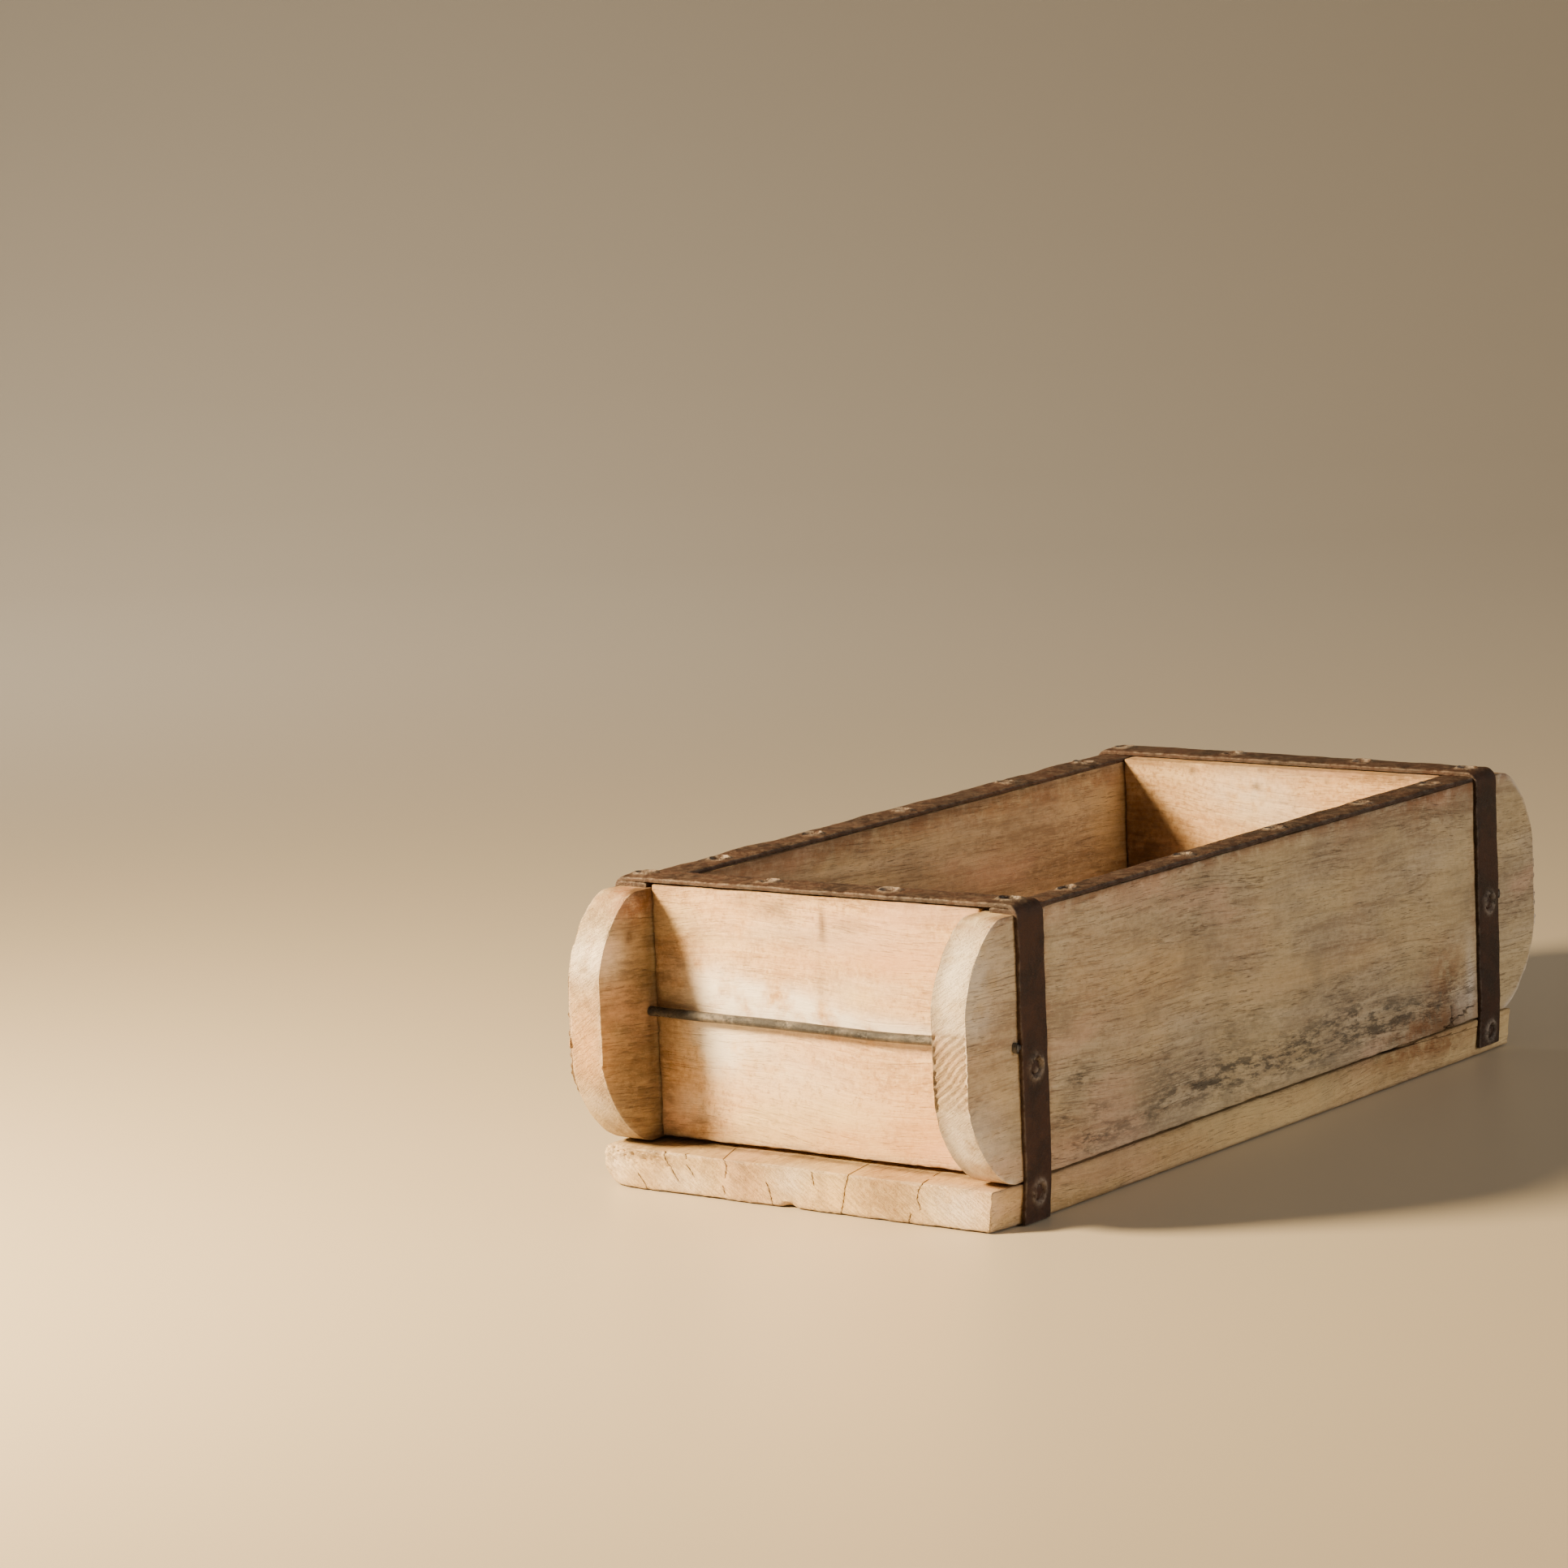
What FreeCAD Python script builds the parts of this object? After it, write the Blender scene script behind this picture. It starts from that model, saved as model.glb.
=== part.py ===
import FreeCAD, Part
import os

# Wooden brick mould bound with hoop iron: a bottomed box of five boards, two iron
# straps bent down over its ends, two iron strips along its rims, and two tie rods.
#
# Millimetres. X runs along the box, from the front end (-X) to the rear end (+X).
# Y runs across it, +Y to the left. Z is up. The origin is the middle of the footprint,
# on the floor.

# Boards
outer_width = 145.0            # over the two side boards
side_thickness = 12.0
end_thickness = 17.0
end_face = 138.6               # from the middle to an end board's outer face
base_thickness = 13.0
base_front = 152.0             # the base sticks out in front of the end board
base_rear = 148.0
base_corner_cut = 2.0          # shallow cut that narrows the base's front right corner
side_top = 91.5                # height of the side boards' tops
front_left_drop = 1.4          # the front left corner stands this much lower
under_end_gap = 1.0            # daylight between an end board and the base
over_end_gap = 0.4             # daylight between an end board and its strap

# Lobes: the rounded ends of the side boards, which are the mould's handles.
# Each is three arcs, given by distance from the middle and height.
heel_start = (143.0, base_thickness)
heel_middle = (157.2, 22.6)
belly_low = (163.9, 38.0)
belly_middle = (165.2, 53.5)
belly_high = (164.3, 67.5)
shoulder_middle = (157.6, 81.6)
shoulder_end = 146.0           # where the shoulder meets the board's top

# Hoop iron
iron_thickness = 1.6
strap_width = 13.2
strap_edge = 139.2             # outer edge of an end strap, just past the end board
strap_bend = 2.2               # outer radius of the bend over each corner
strip_width = 11.5
front_leg_bottom = 0.3         # the front strap's legs stop just off the floor
rear_leg_bottom = 3.0

# Tie rods
rod_radius = 1.8
rod_centre = 141.4             # from the middle to the rod's line
front_rod_height = 53.0
rear_rod_height = 52.0
rod_head_radius = 2.2
rod_head_height = 1.2

# Nails: head radius, shank radius, length
strap_nail = (2.6, 1.1, 20.0)
rim_nail = (2.6, 1.1, 22.0)
leg_nail = (2.8, 1.3, 30.0)
wood_nail = (2.2, 1.2, 34.0)
nail_dome = 0.35               # how far a head stands proud
nail_sink = 1.3                # depth of a head's cone
nail_point = 3.0               # length of the tapered point

# Where the nails go
strap_line = strap_edge - strap_width / 2          # middle of a strap, from the middle
rim_line = outer_width / 2 - strip_width / 2       # middle of a rim strip
front_strap_nail_places = (-rim_line, -24.0, 20.0, rim_line)
rear_strap_nail_places = (-rim_line, -27.0, 23.0, rim_line)
right_rim_nail_places = (-104.0, -41.0, 12.0, 65.0, 108.0)
left_rim_nail_places = (-96.0, -48.0, 1.0, 61.0, 107.0)
front_leg_nail_heights = (9.0, 46.0)
rear_leg_nail_heights = (7.5, 50.5)
corner_nail_heights = (28.0, 66.0)
base_side_nail_places = (-108.0, -54.0, 0.0, 54.0, 108.0)
base_end_nail_places = (-28.0, 28.0)

half_width = outer_width / 2
inner_half_width = half_width - side_thickness
strip_top = side_top + iron_thickness
reach = 400.0                  # longer than anything here, for cutting tools

left, right = 1, -1
rear, front = 1, -1


def vector(x, y, z):
    return FreeCAD.Vector(x, y, z)


def drop(x, y):
    """How far the rim lies below its full height at a place: most at the front left."""
    toward_left = (y + half_width) / outer_width
    toward_front = (strap_edge - x) / (2 * strap_edge)
    return front_left_drop * toward_left * toward_front


def extrude_polygon(points, direction):
    wire = Part.makePolygon(points + [points[0]])
    return Part.Face(wire).extrude(direction)


def lobe_edges(end, shoulder_height, y):
    """The three arcs of one lobe, from the base up to the board's top."""
    def place(point):
        return vector(end * point[0], y, point[1])
    shoulder_top = place((shoulder_end, shoulder_height))
    arcs = [Part.Arc(place(heel_start), place(heel_middle), place(belly_low)),
            Part.Arc(place(belly_low), place(belly_middle), place(belly_high)),
            Part.Arc(place(belly_high), place(shoulder_middle), shoulder_top)]
    return [arc.toShape() for arc in arcs]


def side_board(side):
    """A side board with its two lobes, standing on the base."""
    y = side * half_width
    front_height = side_top - drop(-shoulder_end, y)
    rear_height = side_top - drop(shoulder_end, y)
    bottom = Part.makeLine(vector(-heel_start[0], y, base_thickness),
                           vector(heel_start[0], y, base_thickness))
    top = Part.makeLine(vector(shoulder_end, y, rear_height),
                        vector(-shoulder_end, y, front_height))
    edges = [bottom] + lobe_edges(rear, rear_height, y) + [top]
    edges += lobe_edges(front, front_height, y)
    outline = Part.Wire(Part.sortEdges(edges)[0])
    return Part.Face(outline).extrude(vector(0, -side * side_thickness, 0))


def end_board(end):
    """An end board between the side boards, with a thin gap above and below."""
    x = end * end_face
    top = strip_top - over_end_gap
    bottom = base_thickness + under_end_gap
    corners = [vector(x, -inner_half_width, bottom),
               vector(x, inner_half_width, bottom),
               vector(x, inner_half_width, top - drop(x, inner_half_width)),
               vector(x, -inner_half_width, top - drop(x, -inner_half_width))]
    return extrude_polygon(corners, vector(-end * end_thickness, 0, 0))


def base_board():
    corners = [vector(-base_front, half_width, 0),
               vector(-base_front, -half_width + base_corner_cut, 0),
               vector(-strap_edge, -half_width, 0),
               vector(base_rear, -half_width, 0),
               vector(base_rear, half_width, 0)]
    return extrude_polygon(corners, vector(0, 0, base_thickness))


def end_strap(end, leg_bottom):
    """Hoop iron across an end board and down over both side boards."""
    x = end * strap_edge
    middle = end * strap_line
    outside = half_width + iron_thickness

    def section(half, lift, foot):
        return [vector(x, -half, foot), vector(x, half, foot),
                vector(x, half, strip_top + lift - drop(middle, half_width)),
                vector(x, -half, strip_top + lift - drop(middle, -half_width))]
    across = vector(-end * strap_width, 0, 0)
    outer = extrude_polygon(section(outside, iron_thickness, leg_bottom), across)
    bends = [edge for edge in outer.Edges
             if abs(edge.tangentAt(edge.FirstParameter).x) > 0.99 and edge.CenterOfMass.z > side_top / 2]
    outer = outer.makeFillet(strap_bend, bends)
    inner = extrude_polygon(section(half_width, 0, leg_bottom - 1), across)
    return outer.cut(inner)


def rim_strip(side):
    """Hoop iron along a side board's top, from end to end under both straps."""
    y = side * half_width
    front_height = side_top - drop(-strap_edge, y)
    rear_height = side_top - drop(strap_edge, y)
    corners = [vector(-strap_edge, y, front_height),
               vector(strap_edge, y, rear_height),
               vector(strap_edge, y, rear_height + iron_thickness),
               vector(-strap_edge, y, front_height + iron_thickness)]
    return extrude_polygon(corners, vector(0, -side * strip_width, 0))


def turned(profile_edges):
    return Part.Face(Part.Wire(profile_edges)).revolve(vector(0, 0, 0), vector(0, 0, 1), 360)


def dome_arc(radius, base, rise):
    """The section of a dome, part of a sphere centred on the Z axis, from its rim to its top."""
    sphere = (radius ** 2 + rise ** 2) / (2 * abs(rise))
    halfway = radius / 2
    height = abs(rise) - sphere + (sphere ** 2 - halfway ** 2) ** 0.5
    up = 1 if rise > 0 else -1
    return Part.Arc(vector(radius, 0, base), vector(halfway, 0, base + up * height),
                    vector(0, 0, base + rise)).toShape()


def nail(size, head, direction):
    """A countersunk nail: head is the middle of its head, direction points out of it."""
    head_radius, shank_radius, length = size
    outline = [vector(head_radius, 0, 0), vector(shank_radius, 0, -nail_sink),
               vector(shank_radius, 0, nail_point - length), vector(0, 0, -length),
               vector(0, 0, nail_dome)]
    edges = [Part.makeLine(a, b) for a, b in zip(outline, outline[1:])]
    body = turned(edges + [dome_arc(head_radius, 0, nail_dome)])
    turn = FreeCAD.Rotation(vector(0, 0, 1), direction)
    body.Placement = FreeCAD.Placement(head, turn)
    return body


def tie_rod(end, height):
    """A rod through both side boards, with its ends hammered out into small heads."""
    wall = rod_head_height / 2
    outline = [vector(rod_head_radius, 0, half_width + wall), vector(rod_head_radius, 0, half_width),
               vector(rod_radius, 0, half_width), vector(rod_radius, 0, -half_width),
               vector(rod_head_radius, 0, -half_width), vector(rod_head_radius, 0, -half_width - wall)]
    edges = [Part.makeLine(a, b) for a, b in zip(outline, outline[1:])]
    tip = half_width + rod_head_height
    edges.append(dome_arc(rod_head_radius, -half_width - wall, -wall))
    edges.append(Part.makeLine(vector(0, 0, -tip), vector(0, 0, tip)))
    edges.append(dome_arc(rod_head_radius, half_width + wall, wall))
    body = turned(Part.sortEdges(edges)[0])
    turn = FreeCAD.Rotation(vector(1, 0, 0), 90)
    body.Placement = FreeCAD.Placement(vector(end * rod_centre, 0, height), turn)
    return body


def strap_nails(end, places):
    """Nails down through an end strap."""
    x = end * strap_line
    up = vector(0, 0, 1)
    return [nail(strap_nail, vector(x, y, strip_top + iron_thickness - drop(x, y)), up) for y in places]


def rim_nails(side, places):
    """Nails down through a rim strip."""
    y = side * rim_line
    up = vector(0, 0, 1)
    return [nail(rim_nail, vector(x, y, strip_top - drop(x, side * half_width)), up) for x in places]


def leg_nails(end, heights):
    """Nails in through both legs of an end strap."""
    out = half_width + iron_thickness
    return [nail(leg_nail, vector(end * strap_line, side * out, z), vector(0, side, 0))
            for side in (right, left) for z in heights]


def corner_nails(end):
    """Nails under the strap legs that join the side boards to an end board."""
    return [nail(wood_nail, vector(end * strap_line, side * (half_width - nail_dome), z),
                 vector(0, side, 0))
            for side in (right, left) for z in corner_nail_heights]


def base_nails(places):
    """Nails up through the base, flush with its underside."""
    return [nail(wood_nail, vector(x, y, nail_dome), vector(0, 0, -1)) for x, y in places]


boards = {"base_board": base_board(),
          "left_side_board": side_board(left),
          "right_side_board": side_board(right),
          "front_end_board": end_board(front),
          "rear_end_board": end_board(rear)}

irons = {"front_end_strap": end_strap(front, front_leg_bottom),
         "rear_end_strap": end_strap(rear, rear_leg_bottom),
         "left_rim_strip": rim_strip(left),
         "right_rim_strip": rim_strip(right)}

rods = {"front_tie_rod": [tie_rod(front, front_rod_height)],
        "rear_tie_rod": [tie_rod(rear, rear_rod_height)]}

base_line = half_width - side_thickness / 2
nails = {"front_strap_nails": strap_nails(front, front_strap_nail_places),
         "rear_strap_nails": strap_nails(rear, rear_strap_nail_places),
         "left_rim_nails": rim_nails(left, left_rim_nail_places),
         "right_rim_nails": rim_nails(right, right_rim_nail_places),
         "front_leg_nails": leg_nails(front, front_leg_nail_heights),
         "rear_leg_nails": leg_nails(rear, rear_leg_nail_heights),
         "front_corner_nails": corner_nails(front),
         "rear_corner_nails": corner_nails(rear),
         "left_base_nails": base_nails([(x, base_line) for x in base_side_nail_places]),
         "right_base_nails": base_nails([(x, -base_line) for x in base_side_nail_places]),
         "front_base_nails": base_nails([(-strap_line, y) for y in base_end_nail_places]),
         "rear_base_nails": base_nails([(strap_line, y) for y in base_end_nail_places])}

# Every nail and rod has its own hole, so that no two pieces share any space.
fasteners = [solid for group in list(rods.values()) + list(nails.values()) for solid in group]
pieces = {}
for name, shape in list(boards.items()) + list(irons.items()):
    crossing = [solid for solid in fasteners if solid.BoundBox.intersect(shape.BoundBox)]
    pieces[name] = shape.cut(crossing)
for name, group in list(rods.items()) + list(nails.items()):
    pieces[name] = Part.makeCompound(group) if len(group) > 1 else group[0]

os.makedirs("parts", exist_ok=True)
for name, shape in pieces.items():
    shape.exportStep(os.path.join("parts", name + ".step"))
    box = shape.BoundBox
    print(f"{name}: {len(shape.Solids)} solid(s), valid {shape.isValid()}, {shape.Volume / 1000:.2f} cm3,"
          f" x {box.XMin:.1f}..{box.XMax:.1f} y {box.YMin:.1f}..{box.YMax:.1f} z {box.ZMin:.1f}..{box.ZMax:.1f}")
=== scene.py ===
import math

import bpy
import numpy as np
from mathutils import Matrix, Quaternion, Vector, noise


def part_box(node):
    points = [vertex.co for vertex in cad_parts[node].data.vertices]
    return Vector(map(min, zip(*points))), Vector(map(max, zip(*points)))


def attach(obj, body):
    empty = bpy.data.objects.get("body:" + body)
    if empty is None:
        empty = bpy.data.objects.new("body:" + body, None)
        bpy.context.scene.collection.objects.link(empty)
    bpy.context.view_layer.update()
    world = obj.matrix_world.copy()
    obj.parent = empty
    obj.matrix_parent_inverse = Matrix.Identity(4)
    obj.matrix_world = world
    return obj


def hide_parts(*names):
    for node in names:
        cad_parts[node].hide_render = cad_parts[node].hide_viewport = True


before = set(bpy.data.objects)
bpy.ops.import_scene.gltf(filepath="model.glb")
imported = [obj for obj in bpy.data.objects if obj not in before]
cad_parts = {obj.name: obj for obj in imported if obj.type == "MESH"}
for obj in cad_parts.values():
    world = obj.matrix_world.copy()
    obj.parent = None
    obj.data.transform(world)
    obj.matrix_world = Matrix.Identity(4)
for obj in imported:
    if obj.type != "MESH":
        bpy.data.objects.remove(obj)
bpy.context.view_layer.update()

# Wooden brick mould bound with hoop iron, in metres. X runs along the box to its rear end, +Y is its left
# side and Z is up. Places given in millimetres are only those of stains, cracks and nails.


def deselectAll():
    if bpy.context.object and bpy.context.object.mode != "OBJECT":
        bpy.ops.object.mode_set(mode="OBJECT")
    bpy.ops.object.select_all(action="DESELECT")


def addBox(name, low, high):
    # a cube at its real size and place, to be shaped afterwards
    deselectAll()
    middle = [(a + b) / 2 for a, b in zip(low, high)]
    bpy.ops.mesh.primitive_cube_add(size=1, location=middle)
    piece = bpy.context.object
    piece.name = name
    piece.data.name = name
    piece.scale = [b - a for a, b in zip(low, high)]
    bpy.ops.object.transform_apply(location=True, rotation=False, scale=True)
    return piece


def cutAlong(piece, axis, *cuts):
    # subdivides every edge that runs along one axis, once for each number given
    for count in cuts:
        mesh = piece.data
        bpy.ops.object.mode_set(mode="EDIT")
        bpy.ops.mesh.select_mode(type="EDGE")
        bpy.ops.mesh.select_all(action="DESELECT")
        bpy.ops.object.mode_set(mode="OBJECT")
        for edge in mesh.edges:
            run = mesh.vertices[edge.vertices[1]].co - mesh.vertices[edge.vertices[0]].co
            edge.select = abs(run[axis]) > 0.9 * run.length
        bpy.ops.object.mode_set(mode="EDIT")
        bpy.ops.mesh.subdivide(number_cuts=count)
        bpy.ops.object.mode_set(mode="OBJECT")


def pickFaces(piece, test):
    # leaves the piece in edit mode with only the faces that pass the test selected
    bpy.ops.object.mode_set(mode="EDIT")
    bpy.ops.mesh.select_mode(type="FACE")
    bpy.ops.mesh.select_all(action="DESELECT")
    bpy.ops.object.mode_set(mode="OBJECT")
    for face in piece.data.polygons:
        face.select = test(face)
    bpy.ops.object.mode_set(mode="EDIT")


def drawOut(piece, test, move, scale):
    # extrudes the chosen faces by a move, then sizes them about their own middle
    pickFaces(piece, test)
    chosen = [face.center.copy() for face in piece.data.polygons if face.select]
    middle = sum(chosen, Vector()) / len(chosen) + Vector(move)
    bpy.ops.mesh.extrude_region_move(TRANSFORM_OT_translate={"value": move})
    bpy.ops.transform.resize(value=scale, center_override=middle)
    bpy.ops.object.mode_set(mode="OBJECT")


def applyModifier(piece, modifier):
    deselectAll()
    bpy.context.view_layer.objects.active = piece
    bpy.ops.object.modifier_apply(modifier=modifier.name)


def bevelEdges(piece, width, segments=2, angle=40):
    bevel = piece.modifiers.new("arris", "BEVEL")
    bevel.width = width
    bevel.segments = segments
    bevel.limit_method = "ANGLE"
    bevel.angle_limit = math.radians(angle)
    applyModifier(piece, bevel)


def readPoints(piece):
    points = np.empty(len(piece.data.vertices) * 3)
    piece.data.vertices.foreach_get("co", points)
    return points.reshape(-1, 3)


def writePoints(piece, points):
    piece.data.vertices.foreach_set("co", points.ravel())
    piece.data.update()


def readNormals(piece):
    normals = np.empty(len(piece.data.vertices) * 3)
    piece.data.vertices.foreach_get("normal", normals)
    return normals.reshape(-1, 3)


def ramp(values, start, end):
    # 0 up to the start, 1 from the end on and straight between; either may be the larger
    return np.clip((values - start) / (end - start), 0, 1)


def noiseAt(points, size, seed=0.0):
    # smooth noise from about -1 to 1; size is one length in metres, or one for each axis
    scaled = points / np.array(size) + seed
    return np.array([noise.noise(Vector(p)) for p in scaled])


def storeValue(piece, name, values):
    attribute = piece.data.attributes.get(name) or piece.data.attributes.new(name, "FLOAT", "POINT")
    attribute.data.foreach_set("value", np.asarray(values, dtype=np.float32))


def readValue(piece, name):
    values = np.zeros(len(piece.data.vertices))
    piece.data.attributes[name].data.foreach_get("value", values)
    return values


def edgeShare(piece, spread):
    # 0 on a flat face, up to 1 on an arris, blurred over its neighbours
    mesh = piece.data
    normals = readNormals(piece)
    faceNormals = np.empty(len(mesh.polygons) * 3)
    mesh.polygons.foreach_get("normal", faceNormals)
    faceNormals = faceNormals.reshape(-1, 3)
    corners = np.empty(len(mesh.loops), dtype=int)
    mesh.loops.foreach_get("vertex_index", corners)
    totals = np.empty(len(mesh.polygons), dtype=int)
    mesh.polygons.foreach_get("loop_total", totals)
    owner = np.repeat(np.arange(len(mesh.polygons)), totals)
    turn = 1 - np.sum(normals[corners] * faceNormals[owner], axis=1)
    share = np.zeros(len(mesh.vertices))
    np.maximum.at(share, corners, turn)
    ends = np.empty(len(mesh.edges) * 2, dtype=int)
    mesh.edges.foreach_get("vertices", ends)
    ends = ends.reshape(-1, 2)
    count = np.bincount(ends.ravel(), minlength=len(share))
    share = np.clip(share / 0.08, 0, 1)
    for _ in range(spread):
        total = np.bincount(ends[:, 0], share[ends[:, 1]], len(share))
        total += np.bincount(ends[:, 1], share[ends[:, 0]], len(share))
        share = 0.4 * share + 0.6 * total / np.maximum(count, 1)
    return np.clip(share * 1.6, 0, 1)


def onFace(axis, place, *spots, depth=4):
    # spots on a flat face: each is its middle and size along the face's two axes, and a strength
    laid = []
    for a, b, sizeA, sizeB, strength in spots:
        middle, size = [a, b], [sizeA, sizeB]
        middle.insert(axis, place)
        size.insert(axis, depth)
        laid.append((middle, size, strength))
    return laid


def paintSpots(piece, name, spots):
    # soft patches of an attribute; each spot is a middle and a size in millimetres, and a strength
    points = readPoints(piece) * 1000
    total = np.zeros(len(points))
    for middle, size, strength in spots:
        gap = (points - np.array(middle)) / np.array(size)
        total += strength * np.exp(-np.sum(gap ** 2, axis=1))
    storeValue(piece, name, np.clip(total, 0, 1))


def openCrack(piece, chosen, across, route, width, depth, inward):
    # draws the nearest points onto a route over one face, and sinks them into the wood
    points = readPoints(piece)
    a, b = points[:, across[0]], points[:, across[1]]
    best = np.full(len(a), 1e9)
    nearA, nearB, along = a.copy(), b.copy(), np.zeros(len(a))
    steps = [(p[0] / 1000, p[1] / 1000) for p in route]
    for number, (start, end) in enumerate(zip(steps, steps[1:])):
        runA, runB = end[0] - start[0], end[1] - start[1]
        part = np.clip(((a - start[0]) * runA + (b - start[1]) * runB) / (runA ** 2 + runB ** 2), 0, 1)
        onA, onB = start[0] + part * runA, start[1] + part * runB
        gap = np.hypot(a - onA, b - onB)
        closer = gap < best
        nearA, nearB = np.where(closer, onA, nearA), np.where(closer, onB, nearB)
        along = np.where(closer, (number + part) / (len(steps) - 1), along)
        best = np.minimum(best, gap)
    taken = chosen & (best < width)
    beside = chosen & (best >= width) & (best < 2.4 * width)
    taper = np.clip(4 * np.minimum(along + 0.12, 1.12 - along), 0, 1)
    # the points beside the crack close in on it, so that it stays narrow
    pinch = 0.45 * width / np.maximum(best, 1e-6)
    points[beside, across[0]] = (nearA + (a - nearA) * pinch)[beside]
    points[beside, across[1]] = (nearB + (b - nearB) * pinch)[beside]
    points[taken, across[0]] = nearA[taken]
    points[taken, across[1]] = nearB[taken]
    points[taken] += np.array(inward) * (depth * taper[taken])[:, None]
    writePoints(piece, points)
    # The crack mark darkens the crack in the wood's colour: painted shade inside the narrow crack.
    storeValue(piece, "crack", np.maximum(readValue(piece, "crack"), np.where(taken, taper, 0)))


def finishPiece(piece, material, slot, *nodes, smooth=35):
    deselectAll()
    piece.select_set(True)
    bpy.context.view_layer.objects.active = piece
    bpy.ops.object.shade_smooth_by_angle(angle=math.radians(smooth))
    piece.data.materials.clear()
    piece.data.materials.append(material)
    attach(piece, "root")
    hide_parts(*nodes)


def newMaterial(name):
    material = bpy.data.materials.new(name)
    material.use_nodes = True
    tree = material.node_tree
    shader = next(node for node in tree.nodes if node.type == "BSDF_PRINCIPLED")
    return material, tree, shader


def addNode(tree, kind, **settings):
    node = tree.nodes.new(kind)
    for name, value in settings.items():
        setattr(node, name, value)
    return node


def plug(tree, socket, value):
    # links a socket's output, or sets a plain value
    if isinstance(value, bpy.types.NodeSocket):
        tree.links.new(value, socket)
    else:
        socket.default_value = value


def mathNode(tree, operation, first, second=0.0, third=None, clamp=False):
    node = addNode(tree, "ShaderNodeMath", operation=operation, use_clamp=clamp)
    plug(tree, node.inputs[0], first)
    plug(tree, node.inputs[1], second)
    if third is not None:
        plug(tree, node.inputs[2], third)
    return node.outputs[0]


def rangeNode(tree, value, low, high, toLow=0.0, toHigh=1.0):
    node = addNode(tree, "ShaderNodeMapRange")
    node.interpolation_type = "SMOOTHSTEP"
    for socket, entry in zip(node.inputs, (value, low, high, toLow, toHigh)):
        plug(tree, socket, entry)
    return node.outputs[0]


def mapNode(tree, vector, scale=(1, 1, 1), place=(0, 0, 0), turn=(0, 0, 0)):
    node = addNode(tree, "ShaderNodeMapping")
    plug(tree, node.inputs["Vector"], vector)
    node.inputs["Scale"].default_value = scale
    node.inputs["Location"].default_value = place
    node.inputs["Rotation"].default_value = turn
    return node.outputs[0]


def noiseNode(tree, vector, scale, detail=3.0, roughness=0.55, stretch=None):
    node = addNode(tree, "ShaderNodeTexNoise")
    plug(tree, node.inputs["Vector"], mapNode(tree, vector, scale=stretch) if stretch else vector)
    node.inputs["Scale"].default_value = scale
    node.inputs["Detail"].default_value = detail
    node.inputs["Roughness"].default_value = roughness
    return node.outputs[0]


def times(tree, first, second, clamp=False):
    return mathNode(tree, "MULTIPLY", first, second, clamp=clamp)


def mixColor(tree, share, first, second):
    node = addNode(tree, "ShaderNodeMix", data_type="RGBA")
    plug(tree, node.inputs[0], share)
    for socket, color in ((node.inputs[6], first), (node.inputs[7], second)):
        plug(tree, socket, color if isinstance(color, bpy.types.NodeSocket) else (*color, 1))
    return node.outputs[2]


def facingAlong(tree, axis):
    # how far the surface faces along one axis, from -1 to 1
    facing = addNode(tree, "ShaderNodeSeparateXYZ")
    plug(tree, facing.inputs[0], addNode(tree, "ShaderNodeNewGeometry").outputs["Normal"])
    return facing.outputs[axis]


def rampNode(tree, value, *stops):
    node = addNode(tree, "ShaderNodeValToRGB")
    ramp = node.color_ramp
    while len(ramp.elements) < len(stops):
        ramp.elements.new(0.5)
    for element, (place, color) in zip(ramp.elements, stops):
        element.position = place
        element.color = (*color, 1)
    plug(tree, node.inputs[0], value)
    return node.outputs[0]


def storedValue(tree, name):
    return addNode(tree, "ShaderNodeAttribute", attribute_name=name).outputs["Fac"]


def bumpNode(tree, height, distance, strength=1.0, below=None):
    node = addNode(tree, "ShaderNodeBump")
    node.inputs["Strength"].default_value = strength
    node.inputs["Distance"].default_value = distance
    plug(tree, node.inputs["Height"], height)
    if below is not None:
        plug(tree, node.inputs["Normal"], below)
    return node.outputs[0]


woodTones = {
    "chalk": (0.94, 0.88, 0.81),
    "orange": (0.66, 0.34, 0.13),
    "straw": (0.80, 0.62, 0.33),
    "pink": (0.80, 0.50, 0.36),
    "pore": (0.16, 0.095, 0.050),
    "grey": (0.22, 0.175, 0.12),
    # the mould and grime tones also serve for painted shade
    "mould_and_shade": (0.060, 0.050, 0.038),
    "rust": (0.26, 0.095, 0.025),
    "grime_and_shade": (0.10, 0.055, 0.025),
    "crack": (0.030, 0.015, 0.007),
}

# how often each pattern comes round in a metre in its three directions; all but the mottle and the
# saw marks run with the grain, which is the first
woodPatterns = {
    "swell": (9, 62, 62),
    "streak": (20, 400, 400),
    "fibre": (75, 1400, 1400),
    "fleck": (150, 900, 900),
    "poreArea": (24, 95, 95),
    "pores": (190, 3300, 3300),
    "figure": (4.0, 58, 58),
    "sawMarks": (300, 260, 2600),
    "mottle": (372, 620, 620),
    "drift": (14, 34, 34),
    "speck": (120, 420, 420),
}


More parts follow.
